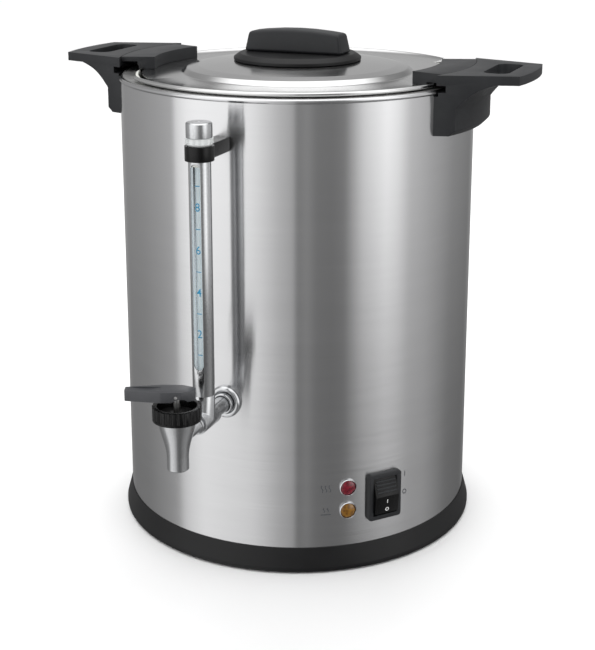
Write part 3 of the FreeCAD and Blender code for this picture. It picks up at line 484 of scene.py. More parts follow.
chrome = metal("nickel_chrome_plated_brass", "BCBDBF", "CACBCC", 0.17, 0.25, 1.2, 0.003)
zinc = metal("zinc_plated_steel", "A3A29B", "BAB9B0", 0.32, 0.45, 2.0, 0.01)
brass = metal("bare_brass", "B08D45", "C9A75B", 0.25, 0.38, 2.0, 0.008)
aluminium = metal("cast_aluminium", "A9AAAB", "C2C3C4", 0.4, 0.55, 0.8, 0.03)
print("metals:", chrome.name, zinc.name, brass.name, aluminium.name)

# %% [markdown]
# ## Moulded plastic and rubber
# The handles, the knob and the base are black phenolic or nylon, moulded in a spark-eroded tool that
# leaves a fine even grain of about 0.4 mm. It breaks up the gloss, so black reads as charcoal. The lever,
# the tap bonnet and the rocker come from a polished tool and are glossier.


# %% Plastics and rubber
def plastic(name, dark, light, smooth, dull, grain, depth, coat=0.0, gloss=0.25):
    """Moulded plastic with a tool grain in millimetres and a slow drift of tone."""
    material, tree, shader = new_material(name, {
        "Base Color": linear(light), "Roughness": smooth, "IOR": 1.5, "Specular IOR Level": gloss,
        "Coat Weight": coat, "Coat Roughness": 0.12})
    turns = 1 / (grain * MM)
    texture = noise(tree, mapped(tree, (turns, turns, turns)), 2.0)
    drift = noise(tree, mapped(tree, (28.0, 28.0, 28.0)), 4.0)
    drifting(tree, shader, drift, dark, light, smooth, dull)
    bumped(tree, shader, texture, depth)
    return material


charcoal = plastic("grained_black_nylon", "202123", "2A2B2D", 0.38, 0.48, 0.45, 0.02)
base_black = plastic("grained_black_polypropylene", "0E0E0F", "141415", 0.38, 0.5, 0.5, 0.018)
gloss_black = plastic("polished_black_abs", "050506", "090909", 0.2, 0.3, 0.6, 0.006, 0.1, 0.2)
lever_grey = plastic("satin_black_phenolic", "36373A", "414245", 0.26, 0.36, 0.5, 0.01, 0.1, 0.4)
milky = plastic("milky_polycarbonate", "C9CBCB", "DADCDC", 0.35, 0.5, 0.5, 0.02)
rubber = plastic("black_nitrile_rubber", "151515", "202020", 0.6, 0.75, 0.3, 0.02)
silicone = plastic("milky_silicone", "B9BAB4", "C9CAC5", 0.4, 0.5, 0.8, 0.01)
# An opal strip behind the glass gives the window an even, light look. Its faint glow is painted light: an
# emission that stands in for light seen through the window, though the strip is no lamp.
opal = plastic("opal_strip_painted_glow", "D3DADD", "E1E6E8", 0.4, 0.5, 0.6, 0.01)
opal_glow_shader = opal.node_tree.nodes["Principled BSDF"]
opal_glow_shader.inputs["Emission Color"].default_value = linear("DFE9EE")
opal_glow_shader.inputs["Emission Strength"].default_value = 0.4
print("plastics:", charcoal.name, gloss_black.name, milky.name)

# %% [markdown]
# ## Glass, lenses and ink
# The gauge is a borosilicate tube, clear and a little blue in its thickness. The lamp lenses are tinted
# acrylic over a dark lamp, so with no light behind them they look deep red and brown amber. The litre marks
# and the symbols are printed with a matt ink.


# %% Glass, lenses and ink
def tube_glass():
    """Clear drawn glass with faint long ripples from drawing."""
    material, tree, shader = new_material("clear_borosilicate", {
        "Base Color": linear("FCFEFE"), "Roughness": 0.03, "IOR": 1.47, "Transmission Weight": 1.0})
    ripple = noise(tree, mapped(tree, (260.0, 260.0, 9.0)), 2.0)
    tree.links.new(spread(tree, ripple, 0.02, 0.05), shader.inputs["Roughness"])
    bumped(tree, shader, ripple, 0.01)
    return material


def lens(name, dark, light):
    """Tinted acrylic with fine moulded rings behind a glossy face."""
    material, tree, shader = new_material(name, {
        "Base Color": linear(light), "Roughness": 0.12, "IOR": 1.49, "Coat Weight": 0.6,
        "Coat Roughness": 0.04, "Transmission Weight": 0.25})
    sparkle = add_node(tree, "ShaderNodeTexVoronoi", values={"Scale": 420.0},
                       links={"Vector": add_node(tree, "ShaderNodeTexCoord").outputs["Object"]})
    tree.links.new(tint(tree, sparkle.outputs["Distance"], dark, light), shader.inputs["Base Color"])
    bumped(tree, shader, sparkle.outputs["Distance"], 0.03)
    return material


def ink(name, dark, light):
    """Screen-printed ink, slightly uneven."""
    material, tree, shader = new_material(name, {"Base Color": linear(light), "Roughness": 0.6})
    fleck = noise(tree, mapped(tree, (2500.0, 2500.0, 2500.0)), 2.0)
    tree.links.new(tint(tree, fleck, dark, light), shader.inputs["Base Color"])
    return material


glass = tube_glass()
red_lens = lens("red_acrylic_lens", "5E0718", "7E0F26")
amber_lens = lens("amber_acrylic_lens", "6E480E", "8E6217")
blue_ink = ink("blue_gauge_ink", "1F7FA6", "2C93BD")
grey_ink = ink("dark_grey_ink", "3A3C40", "4A4C50")
white_ink = ink("white_switch_ink", "D8D9D8", "F0F0EE")
print("clear and tinted:", glass.name, red_lens.name, amber_lens.name)


# %% [markdown]
# ## Handing a piece over
# Every new piece rides on a body of the frame and stands for the frame pieces that it hides. Mouldings
# whose frame shape is already exact are copied, softened and handed over in one go.


# %% Finishing a piece
def finish_piece(piece, body, slot, material, *nodes):
    """Material, body and the frame pieces that this one stands for. The slot is not used."""
    piece.data.materials.clear()
    piece.data.materials.append(material)
    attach(piece, body)
    if nodes:
        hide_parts(*nodes)
    print(f"{piece.name}: {len(piece.data.polygons)} faces, rides on {body}")
    return piece


def softened_copy(name, node, body, slot, material, width, segments=3, angle=40):
    """Finished copy of a frame piece, with its edges bevelled to a width in millimetres."""
    piece = from_cad(name, node)
    soften(piece, width, segments=segments, angle=angle)
    return finish_piece(piece, body, slot, material, node)


# %% [markdown]
# ## The outer shell
# On the real kettle the shell is one sheet, rolled, welded at the back and curled over a wire at the top.
# It could be a cylinder with a torus on top, but the curl flows out of the wall, so one outline does
# both: up the outside, round the bead and down the inside. Extra rows of corners low down keep the faces
# small where the holes are cut.

# %% Shell
outlet_height = mid_height("wall_flange")
switch_height = mid_height("switch_housing")
heat_height = mid_height("heat_lamp_lens")
warm_height = mid_height("warm_lamp_lens")
inlet_height = mid_height("power_inlet")
switch_angle = 50.0
lamp_angle = 38.0
lamp_hole = 6.5
shank_hole = 6.8

rows = [26, 34, 42, 50, 58, 66, 74, 82, 90, 110, 128, 136, 144, 152, 160, 200, 250, 300, 350]
bead_centre = (shell_radius - bead_inset, rim_height)
bead_start = math.degrees(math.acos(bead_inset / bead_radius))
outline = [(shell_radius, shell_low.z)] + [(shell_radius, z) for z in rows]
outline += arc(bead_centre, bead_radius, -bead_start, 180 + bead_start, 18)
outline += [(shell_radius - sheet, z) for z in reversed(rows)] + [(shell_radius - sheet, shell_low.z)]
shell = turned("shell_skin", outline, steps=256)


# %% Holes in the shell
def cut_hole(piece, plan, angle, height, depth=8.0):
    """Cuts a plan through a wall, at an angle from the tap."""
    tool = extruded("cutter", plan, shell_radius - depth, shell_radius + 8)
    return combine(piece, face_front(tool, angle, height))


def round_plan(radius):
    """Plan of a round hole."""
    return arc((0, 0), radius, 0, 350, 35)


switch_hole = (24.6, 34.6)
inlet_hole = (34.0, 24.0)
cut_hole(shell, rectangle(*switch_hole), switch_angle, switch_height)
for height in (heat_height, warm_height):
    cut_hole(shell, round_plan(lamp_hole), lamp_angle, height)
cut_hole(shell, round_plan(shank_hole), 0, outlet_height)
cut_hole(shell, rectangle(*inlet_hole), 180, inlet_height)
soften(shell, 0)
finish_piece(shell, "kettle", "brushed_body", brushed, "outer_shell")

# %% [markdown]
# ## The base skirt
# A flared ring of black plastic carries the shell on an inner ledge. Its outside leans out towards the
# table and turns under with a soft edge, and a fine step shows where the steel sits in it.

# %% Base skirt
skirt_low, skirt_high = low_high("base_ring")
skirt_radius = skirt_high.x
skirt_wall = 3.0
skirt_ledge = shell_low.z
skirt_lip = shell_radius + 0.65
seat_gap = 0.05
pot_gap = 12.0
skirt_outline = [(skirt_radius, skirt_low.z), (skirt_radius, skirt_low.z + 4), (skirt_lip, skirt_high.z),
                 (shell_radius + seat_gap, skirt_high.z), (shell_radius + seat_gap, skirt_ledge),
                 (shell_radius - pot_gap, skirt_ledge), (shell_radius - pot_gap, skirt_ledge - skirt_wall),
                 (shell_radius - skirt_wall, skirt_ledge - skirt_wall),
                 (shell_radius - skirt_wall, skirt_low.z)]
skirt = turned("base_skirt", rounded(skirt_outline, 1.6, closed=True), steps=192)
soften(skirt, 0)
finish_piece(skirt, "kettle", "black_plastic", base_black, "base_ring")

# %% [markdown]
# ## The inner pot
# The pot is drawn from one sheet, with a rounded corner at its floor and a flat flange that lies on the
# shell's bead. It shows when the lid is lifted.

# %% Inner pot
pot_low, pot_high = low_high("inner_pot")
pot_radius = shell_radius - pot_gap
pot_floor = pot_low.z + sheet
pot_corner = 14.0
pot_flange = shell_radius - bead_inset - bead_radius - seat_gap
flange_drop = 20
outline = [(0, pot_floor - sheet)]
outline += arc((pot_radius - pot_corner, pot_floor - sheet + pot_corner), pot_corner, -90, 0, 8)
outline += [(pot_radius, pot_high.z - sheet), (pot_flange, pot_high.z - sheet), (pot_flange, pot_high.z)]
outline += rounded([(pot_flange, pot_high.z), (pot_radius - sheet, pot_high.z),
                    (pot_radius - sheet, pot_high.z - flange_drop)], 0.8)[1:]
outline += arc((pot_radius - pot_corner, pot_floor - sheet + pot_corner), pot_corner - sheet, 0, -90, 8)
outline += [(0, pot_floor)]
pot = turned("pot_skin", outline, steps=160)
cut_hole(pot, round_plan(shank_hole), 0, outlet_height, depth=30.0)
soften(pot, 0)
finish_piece(pot, "kettle", "pot_steel", satin, "inner_pot")

# %% [markdown]
# ## The lid
# The lid is pressed from one sheet: a curled edge, a flat band, a step and a low dome that carries the
# knob. The underside follows the top one sheet lower, so one outline closed on itself gives a thin pan.
# Two notches in its edge let it drop over the pegs of the handles.

# %% Lid
lid_bead = 1.8
lid_radius = lid_high.x - lid_bead
lid_flat = rim_height + bead_radius + 1.3
lid_step_foot = 98.0
lid_step_head = 94.0
lid_shoulder = 84.0
shoulder_rise = 5.9
knob_low, knob_high = low_high("knob_base")
lid_crown = knob_low.z - seat_gap
step_rise = 3.9
moving_gap = 0.4
seal_thickness = 2.05
notch_depth = 12.5
notch_opening = 62
notch_start = 16
bead_middle = rim_height + bead_radius + 0.5 + lid_bead
top = [(lid_radius - 8, lid_flat), (lid_step_foot, lid_flat), (lid_step_head, lid_flat + step_rise),
       (lid_shoulder, lid_flat + shoulder_rise), (50, lid_crown), (0, lid_crown)]
top = rounded(top, 3.0)
under = [(r, z - sheet) for r, z in reversed(top)]
outline = arc((lid_radius, bead_middle), lid_bead, -130, 150, 14) + top + under
lid = turned("lid_skin", outline, steps=192)
drop_outer = pot_radius - sheet - 2 * moving_gap - seal_thickness
drop_plan = [(drop_outer, lid_low.z), (drop_outer, lid_flat - 0.5), (drop_outer - sheet, lid_flat - 0.5),
             (drop_outer - sheet, lid_low.z)]
combine(lid, turned("lid_drop", drop_plan, steps=192), "UNION")
notch_inner = lid_radius + 1 - notch_depth
notch = [(notch_inner, rim_height - 6), (lid_radius + 10, rim_height - 6),
         (lid_radius + 10, rim_height + 10), (notch_inner, rim_height + 10)]
for turn in (0, 180):
    combine(lid, turned("cutter", notch, steps=24, angle=notch_opening, start=turn - notch_start))
soften(lid, 0)
finish_piece(lid, "lid", "lid_steel", spun, "lid_pan")

# %% [markdown]
# ## The knob
# A round plinth and an arched bar that a whole hand can turn. Both are moulded, so every edge that a
# finger meets is rounded. The bar starts as a cube. It is cut across into six lengths, so that its top
# can be lowered towards the ends along an arc, its top is drawn in for draft, and its edges are bevelled.

# %% Plinth of the knob
knob_radius = knob_high.x
plinth = [(0, knob_low.z), (knob_radius - 0.4, knob_low.z), (knob_radius, knob_low.z + 0.5),
          (knob_radius, knob_low.z + 2.4), (knob_radius - 5.0, knob_high.z - 0.2),
          (knob_radius - 7, knob_high.z), (0, knob_high.z)]
base = turned("knob_plinth", rounded(plinth, 1.2), steps=128)
soften(base, 0)
finish_piece(base, "lid", "black_plastic", base_black, "knob_base")

# %% Bar of the knob
grip_low, grip_high = low_high("knob_grip")
grip_size = grip_high - grip_low
grip_middle = (grip_high + grip_low) / 2
grip_arch = 3.0
grip_draft = 3.0
grip_lean = 2.5
select_none()
bpy.ops.mesh.primitive_cube_add(size=1, location=grip_middle * MM, scale=grip_size * MM)
grip = bpy.context.object
grip.name = grip.data.name = "knob_bar"
settle(grip)
bpy.ops.object.mode_set(mode="EDIT")
bpy.ops.mesh.select_all(action="SELECT")
bpy.ops.mesh.bisect(plane_co=grip_middle * MM, plane_no=(1, 0, 0))
bar_cuts = (-0.36, -0.18, 0.18, 0.36)
for share in bar_cuts:
    bpy.ops.mesh.select_all(action="SELECT")
    bpy.ops.mesh.bisect(plane_co=((grip_size.x * share) * MM, 0, 0), plane_no=(1, 0, 0))
bpy.ops.object.mode_set(mode="OBJECT")
for vertex in grip.data.vertices:
    if vertex.co.z > grip_middle.z * MM:
        along = vertex.co.x / (grip_size.x / 2 * MM)
        vertex.co.x *= 1 - grip_draft / (grip_size.x / 2)
        vertex.co.y *= 1 - grip_lean / (grip_size.y / 2)
        vertex.co.z -= grip_arch * along ** 2 * MM
soften(grip, 2.6, segments=5, angle=30)
finish_piece(grip, "lid", "black_plastic", charcoal, "knob_grip")

# %% [markdown]
# ## Handles and lid lugs
# Each handle is one moulding: a curved bracket against the shell, a gusset and a flat grip with a finger
# slot. The lugs on the lid line up with them when the lid is locked. Their shapes are exact in the frame,
# so they are copied, their triangles are merged back into flat faces, and every edge gets the radius of a
# mould.

# %% Handles and lugs
for side in ("left", "right"):
    softened_copy(f"{side}_handle_moulding", f"{side}_handle", "kettle", "black_plastic", charcoal, 0.9)
    softened_copy(f"{side}_lug_moulding", f"{side}_lid_lug", "lid", "black_plastic", charcoal, 0.5, 2)

# %% [markdown]
# ## The sight gauge
# Water stands as high in the glass as in the pot. A bright tube with a long window guards the glass, a
# black clamp ties its top to the shell, and a milky collar and a plated cap close it. The glass has a
# printed scale, and an opal strip behind it, glowing with painted light, keeps the window light.

# %% Tube with its window
shield_low, shield_high = low_high("gauge_shield")
glass_low, glass_high = low_high("gauge_glass")
gauge_at = (0.0, (shield_low.y + shield_high.y) / 2)
shield_radius = shield_high.x
shield_wall = 1.0
glass_radius = glass_high.x
glass_wall = 1.2
window_half = 4.0
window_low = shield_low.z + 21.5
window_high = shield_high.z - 2.0
tube = [(shield_radius, shield_low.z), (shield_radius, shield_high.z),
        (shield_radius - shield_wall, shield_high.z), (shield_radius - shield_wall, shield_low.z)]
shield = turned("gauge_tube", tube, gauge_at, steps=96)
plan = arc((0, window_high - window_half), window_half, 0, 180, 16)
plan += arc((0, window_low + window_half), window_half, 180, 360, 16)
window = extruded("cutter", plan, -gauge_at[1], -gauge_at[1] + 20)
combine(shield, face_front(window, 0, 0))
soften(shield, 0.2, segments=2, angle=50)
finish_piece(shield, "kettle", "bright_chrome", chrome, "gauge_shield")

# %% Glass and the strip behind it
glass_bore = glass_radius - glass_wall
tube = [(glass_radius, glass_low.z), (glass_radius, glass_high.z), (glass_bore, glass_high.z),
        (glass_bore, glass_low.z)]
pipe = turned("gauge_pipe", rounded(tube, 0.4, closed=True, steps=2), gauge_at, steps=64)
soften(pipe, 0)
finish_piece(pipe, "kettle", "clear_glass", glass, "gauge_glass")

backing_outer = shield_radius - shield_wall - 0.2
backing_inner = backing_outer - 0.6
backing_overlap = 3
backing = [(backing_inner, window_low - backing_overlap), (backing_outer, window_low - backing_overlap),
           (backing_outer, window_high + backing_overlap), (backing_inner, window_high + backing_overlap)]
# The strip glows faintly by its material: painted light that stands in for light seen through the window.
strip_behind = turned("gauge_glow_strip", backing, gauge_at, steps=32, angle=200, start=-10)
soften(strip_behind, 0)
finish_piece(strip_behind, "kettle", "white_plastic", opal)

# %% Ribbed collar
collar_low, collar_high = low_high("gauge_collar")
collar_radius = collar_high.x - 0.3
collar_outline = rounded([(glass_radius + 0.1, collar_low.z), (collar_radius - 1.8, collar_low.z),
                          (collar_radius, collar_low.z + 2), (collar_radius, collar_high.z),
                          (glass_radius + 0.1, collar_high.z)], 0.4)
collar = turned("gauge_collar_ring", collar_outline, gauge_at, steps=64)
take(collar)
bpy.ops.object.mode_set(mode="EDIT")
bpy.ops.mesh.select_all(action="DESELECT")
bpy.ops.object.mode_set(mode="OBJECT")
# Every second face by number is pressed in. The numbers follow the order that merging leaves, and that order
# isn't the same each run, so the ribs are uneven and vary from run to run.
for face in collar.data.polygons:
    out = face.center - Vector((0, gauge_at[1] * MM, 0))
    out.z = 0
    on_side = abs(face.normal.z) < 0.2 and out.length > (collar_radius - 0.5) * MM
    face.select = on_side and face.index % 2 == 0
bpy.ops.object.mode_set(mode="EDIT")
bpy.ops.mesh.inset(thickness=0.15 * MM, use_individual=True)
bpy.ops.transform.shrink_fatten(value=-0.35 * MM)
bpy.ops.object.mode_set(mode="OBJECT")
soften(collar, 0, smooth=25)
finish_piece(collar, "kettle", "white_plastic", milky, "gauge_collar")

# %% Cap and clamp
cap_low, cap_high = low_high("gauge_cap")
cap_radius = cap_high.x
breather = 1.0
cap_bore = glass_radius + 0.1
cap_ceiling = cap_low.z + 4.3
dome = [(cap_bore, cap_low.z), (cap_radius, cap_low.z), (cap_radius, cap_high.z - 1.0),
        (cap_radius - 1.0, cap_high.z), (breather, cap_high.z), (breather, cap_ceiling),
        (cap_bore, cap_ceiling)]
cap = turned("gauge_cap_turned", rounded(dome, 0.5, closed=True), gauge_at, steps=96)
soften(cap, 0)
finish_piece(cap, "kettle", "bright_chrome", chrome, "gauge_cap")

softened_copy("gauge_clamp_moulding", "gauge_clamp", "kettle", "black_plastic", gloss_black, 0.6)

# %% [markdown]
# ## The printed scale
# Litre numbers and ticks are the kind of print that any measuring glass has. A number is text turned into
# a mesh and a tick is a narrow plane. Each is cut a few times so that it can bend, and is pulled onto the
# glass by a Shrinkwrap modifier.


# %% Printed marks
def wrapped(piece, target, lift):
    """Presses a flat mark onto a round surface, a hair proud of it."""
    take(piece)
    bpy.ops.object.mode_set(mode="EDIT")
    bpy.ops.mesh.select_all(action="SELECT")
    bpy.ops.mesh.quads_convert_to_tris()
    bpy.ops.mesh.subdivide(number_cuts=2)
    bpy.ops.object.mode_set(mode="OBJECT")
    apply_modifier(piece, "SHRINKWRAP", target=target, offset=lift * MM, wrap_method="NEAREST_SURFACEPOINT")
    return piece


def number_mark(name, text, tall, x, y, z):
    """Upright number facing the front, as a flat mesh."""
    select_none()
    bpy.ops.object.text_add(location=(x * MM, y * MM, z * MM), rotation=(math.radians(90), 0, 0))
    mark = bpy.context.object
    mark.name = name
    mark.data.body = text
    mark.data.size = tall * 1.4 * MM
    mark.data.align_x = "CENTER"
    mark.data.align_y = "CENTER"
    mark.data.offset = 0.02 * MM
    bpy.ops.object.convert(target="MESH")
    return settle(bpy.context.object)


litre_step = 16.4
tick_length = 4.4
tick_width = 0.6
litres_shown = range(1, 11)
first_litre = window_low + 3.0
mark_y = gauge_at[1] - glass_radius - 0.2
number_tall = 6.4
marks = []
for litre in litres_shown:
    height = first_litre + litre_step * (litre - 0.5)
    if height > window_high - 6:
        break
    if litre % 2 == 0:
        marks.append(number_mark(f"litre_{litre}", str(litre), number_tall, 0, mark_y, height))
    else:
        select_none()
        bpy.ops.mesh.primitive_plane_add(size=tick_length * MM, location=(0, mark_y * MM, height * MM),
                                         rotation=(math.radians(90), 0, 0))
        tick = bpy.context.object
        tick.scale.y = tick_width / tick_length
        tick.name = f"tick_{litre}"
        marks.append(settle(tick))
for mark in marks:
    wrapped(mark, pipe, 0.05)
    finish_piece(mark, "kettle", "clear_glass", blue_ink)
print("marks on the gauge:", len(marks))

# %% [markdown]
# ## The tap
# The tap is a turned brass casting. Water comes through the arm, and a silicone cup closes the seat
# inside the barrel. The barrel swells from a narrow nozzle to the bonnet in one smooth curve, so its
# outline follows a cosine, and the arm is joined to it by a boolean, as the casting joins them.

# %% Barrel
body_low, body_high = low_high("tap_body")
stem_low, stem_high = low_high("tap_stem")
tap_at = (0.0, (stem_low.y + stem_high.y) / 2)
tap_top = body_high.z
nozzle_radius = 8.3
nozzle_top = body_low.z + 11.0
bore_radius = nozzle_radius - 2.3
top_radius = 14.0
seat_height = outlet_height - 5.0
chamber_radius = 7.5
swell_steps = 14
swell_start = 0.12
swell_power = 1.15
barrel = [(bore_radius, seat_height - 4), (bore_radius, body_low.z + 0.5), (bore_radius + 0.6, body_low.z),
          (nozzle_radius - 0.7, body_low.z), (nozzle_radius, body_low.z + 0.8),
          (nozzle_radius, nozzle_top - 0.4)]


def swell(share):
    """How far the barrel has swollen, from 0 to 1, on a part of a cosine."""
    along = min(1.0, swell_start + share * (1 - swell_start))
    return 0.5 - 0.5 * math.cos(math.pi * along ** swell_power)


for step in range(1, swell_steps + 1):
    share = step / swell_steps
    width = nozzle_radius + (top_radius - nozzle_radius) * (swell(share) - swell(0)) / (1 - swell(0))
    barrel.append((width, nozzle_top + (tap_top - nozzle_top) * share))
barrel += [(chamber_radius + 3, tap_top), (chamber_radius + 3, seat_height + 13),
           (chamber_radius, seat_height + 13), (chamber_radius, seat_height), (4.2, seat_height),
           (4.2, seat_height - 4)]
tap = turned("tap_barrel", barrel, tap_at, steps=96)

# %% Arm
arm_radius = 5.75
arm_bore = 3.5
arm_ring = 1.4
arm_start = -low_high("gauge_foot")[0].y - 6
arm_end = -tap_at[1] - chamber_radius - 1.5
arm = [(arm_bore, arm_start), (arm_radius, arm_start), (arm_radius, arm_start + 6.1),
       (arm_radius + arm_ring, arm_start + 6.8), (arm_radius + arm_ring, arm_start + 9.2),
       (arm_radius, arm_start + 10), (arm_radius, arm_end), (arm_bore, arm_end)]
arm_outline = rounded(arm, 0.6, closed=True, steps=3)
combine(tap, face_front(turned("tap_arm", arm_outline, steps=64), 0, outlet_height), "UNION")
soften(tap, 0, smooth=32)
finish_piece(tap, "kettle", "bright_chrome", chrome, "tap_body")

# %% Tee and wall rose
softened_copy("gauge_tee_turned", "gauge_foot", "kettle", "bright_chrome", chrome, 0.4, 2, 50)

flange_low, flange_high = low_high("wall_flange")
flange_radius = flange_high.x
flange_face = -flange_low.y
wall_front = shell_radius + 0.1
rim_width = 3.8
rose_hub = 8.5
rose_floor = wall_front + 1.6
rose_rim = wall_front + 4.2
disc = [(shank_hole, wall_front), (flange_radius, wall_front - 1.6), (flange_radius, wall_front + 2.6),
        (flange_radius - 1.4, rose_rim), (flange_radius - rim_width, rose_rim),
        (flange_radius - rim_width - 0.6, rose_floor), (rose_hub, rose_floor),
        (rose_hub, flange_face - seat_gap), (shank_hole, flange_face - seat_gap)]
rose = face_front(turned("wall_rose", rounded(disc, 1.7, closed=True), steps=96), 0, outlet_height)
soften(rose, 0)
finish_piece(rose, "kettle", "bright_chrome", chrome, "wall_flange")

# %% [markdown]
# ## Bonnet and lever
# The bonnet is a castellated black cup that screws on the barrel, and the lever straddles the stem with an
# arched hub. Both keep the frame's exact shape and get their moulded edges here.

# %% Bonnet and lever
softened_copy("bonnet_moulding", "tap_bonnet", "kettle", "black_plastic", gloss_black, 0.35, 2)
softened_copy("lever_moulding", "tap_lever", "tap_handle", "gloss_black", lever_grey, 0.9)

# %% [markdown]
# ## The spring in the tap
# A coil presses the cup on its seat. When the lever lifts the cup, the coil has to shorten. Here it keeps
# its frame shape, shaded smooth, on a mesh of its own.

# %% Spring
spring = softened_copy("tap_coil", "tap_spring", "kettle", "pot_steel", satin, 0)
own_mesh(spring)

# %% [markdown]
# ## Switch, lamps and inlet
# The rocker is a standard ridged one that snaps into a bezel. Fine ribs on its upper half give the thumb a
# grip, and it carries the plain I and O marks that every switch has. The lamps are tinted lenses in thin
# bright rings.

# %% Switch bezel and rocker
softened_copy("switch_bezel", "switch_housing", "kettle", "black_plastic", charcoal, 0.8)
softened_copy("rocker_moulding", "switch_rocker", "rocker", "gloss_black", gloss_black, 0.7, 3, 25)

# %% Ribs on the rocker
bezel_width = 30.0
bezel_tall = 40.0
bezel_border = 3.4
bezel_proud = 4.0
pivot_out = shell_radius - 3.0
rocker_tilt = 8.0
rocker_half = bezel_width / 2 - bezel_border - 0.6 - moving_gap
rocker_tall = bezel_tall / 2 - bezel_border - 0.3 - 1.3
rocker_front = shell_radius + bezel_proud + 0.6
rocker_ridge = 3.6


def on_rocker(piece):
    """Tips a piece with the rocker and swings it round to the switch."""
    pivot = Vector((0, -pivot_out, switch_height)) * MM
    tip = Matrix.Translation(pivot) @ Matrix.Rotation(math.radians(-rocker_tilt), 4, "X")
    tip = tip @ Matrix.Translation(-pivot)
    piece.matrix_world = Matrix.Rotation(math.radians(switch_angle), 4, "Z") @ tip @ piece.matrix_world
    return settle(piece)


def rocker_surface(rise):
    """How far out the rocker's face is, at a height above or below its ridge."""
    return rocker_front + rocker_ridge * (1 - abs(rise) / rocker_tall)


rib_count = 4
rib_radius = 0.95
rib_step = 2.9
first_rib = 3.4
rib_half = rocker_half - 1.6
for index in range(rib_count):
    rise = first_rib + rib_step * index
    out = rocker_surface(rise) - 0.1
    select_none()
    bpy.ops.mesh.primitive_cylinder_add(vertices=16, radius=rib_radius * MM, depth=2 * rib_half * MM,
                                        location=(0, -out * MM, (switch_height + rise) * MM),
                                        rotation=(0, math.radians(90), 0))
    rib = bpy.context.object
    rib.name = f"rocker_rib_{index + 1}"
    settle(rib)
    soften(rib, 0.25, segments=2)
    on_rocker(rib)
    # The ribs take the lighter grained nylon instead of the rocker's gloss black: a painted highlight along
    # their crests.
    finish_piece(rib, "rocker", "gloss_black", charcoal)

# %% Lamps
lens_radius = 6.4
ring_radius = 7.1
ring = [(lens_radius + 0.05, shell_radius - 0.3), (ring_radius, shell_radius - 0.3),
        (ring_radius, shell_radius + 1.4), (ring_radius - 0.5, shell_radius + 2.0),
        (lens_radius + 0.05, shell_radius + 1.6)]
dome_low = shell_radius + 0.6
dome_rise = 1.7
lens_back = shell_radius - 7
lens_shape = [(0, lens_back), (lens_radius, lens_back), (lens_radius, dome_low)]
for degrees in (15, 30, 45, 60, 75):
    turn = math.radians(degrees)
    lens_shape.append((lens_radius * math.cos(turn), dome_low + dome_rise * math.sin(turn)))
lens_shape.append((0, dome_low + dome_rise))
lamps = (("heat_lens", heat_height, "red_lens", red_lens, "heat_lamp_lens"),
         ("warm_lens", warm_height, "amber_lens", amber_lens, "warm_lamp_lens"))
for name, height, slot, material, node in lamps:
    piece = face_front(turned(name, lens_shape, steps=64), lamp_angle, height)
    soften(piece, 0)
    finish_piece(piece, "kettle", slot, material, node)
    piece = face_front(turned(name + "_ring", rounded(ring, 0.3, closed=True, steps=2), steps=64),
                       lamp_angle, height)
    soften(piece, 0)
    finish_piece(piece, "kettle", "bright_chrome", chrome)
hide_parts("lamp_bezels")


# %% [markdown]
# ## Symbols beside the controls
# A printed symbol tells which lamp is which: three heat waves for boiling, and two short waves over a
# line for keeping warm. I and O stand beside the switch, and in white on the rocker. A wave is a thin
# ribbon along a sine.

# %% Printed symbols
def on_wall(mark, along, height, angle):
    """Stands a flat mark, drawn on the floor plane, in front of the wall and presses it on."""
    place = Matrix.Rotation(math.radians(angle), 4, "Z")
    place = place @ Matrix.Translation(Vector((along, -(shell_radius + 0.5), height)) * MM)
    mark.matrix_world = place @ Matrix.Rotation(math.radians(90), 4, "X")
    settle(mark)
    wrapped(mark, shell, 0.06)
    return finish_piece(mark, "kettle", "brushed_body", grey_ink)


def strip(name, points, width):
    """Flat ribbon of a given width along (x, y) points on the floor plane."""
    left = []
    right = []
    for index, (x, y) in enumerate(points):
        before = Vector(points[max(index - 1, 0)])
        after = Vector(points[min(index + 1, len(points) - 1)])
        across = (after - before).normalized().orthogonal() * width / 2
        left.append((x + across.x, y + across.y))
        right.append((x - across.x, y - across.y))
    loop = [(x, y, 0) for x, y in left + right[::-1]]
    piece = draw(name, loop + loop[:1])
    bpy.ops.mesh.remove_doubles(threshold=merge_gap)
    bpy.ops.mesh.select_all(action="SELECT")
    bpy.ops.mesh.edge_face_add()
    return tidy_mesh(piece)


def wave(length, swing):
    """Points of an upright wave."""
    return [(swing * math.sin(2 * math.pi * step / 12), length * (step / 12 - 0.5)) for step in range(13)]


symbol_gap = 15.0
wave_step = 3.2
ink_line = 0.8
for index in range(3):
    heat_wave = strip(f"symbol_heat_{index + 1}", wave(6.0, 0.7), ink_line)
    on_wall(heat_wave, -symbol_gap - wave_step * index, heat_height, lamp_angle)
for index in range(2):
    warm_wave = strip(f"symbol_warm_{index + 1}", wave(3.6, 0.5), ink_line)
    on_wall(warm_wave, -symbol_gap - wave_step / 2 - wave_step * index, warm_height + 1.4, lamp_angle)
warm_line = strip("symbol_warm_line", [(-4.2, 0), (0, 0), (4.2, 0)], ink_line)
on_wall(warm_line, -symbol_gap - wave_step, warm_height - 2.6, lamp_angle)
beside_switch = 22.0
on_wall(strip("symbol_on", [(0, -2.2), (0, 0), (0, 2.2)], ink_line), beside_switch, switch_height + 13,
        switch_angle)
circle = arc((0, 0), 1.8, 90, 445, 24)
on_wall(strip("symbol_off", circle, ink_line), beside_switch, switch_height - 3, switch_angle)

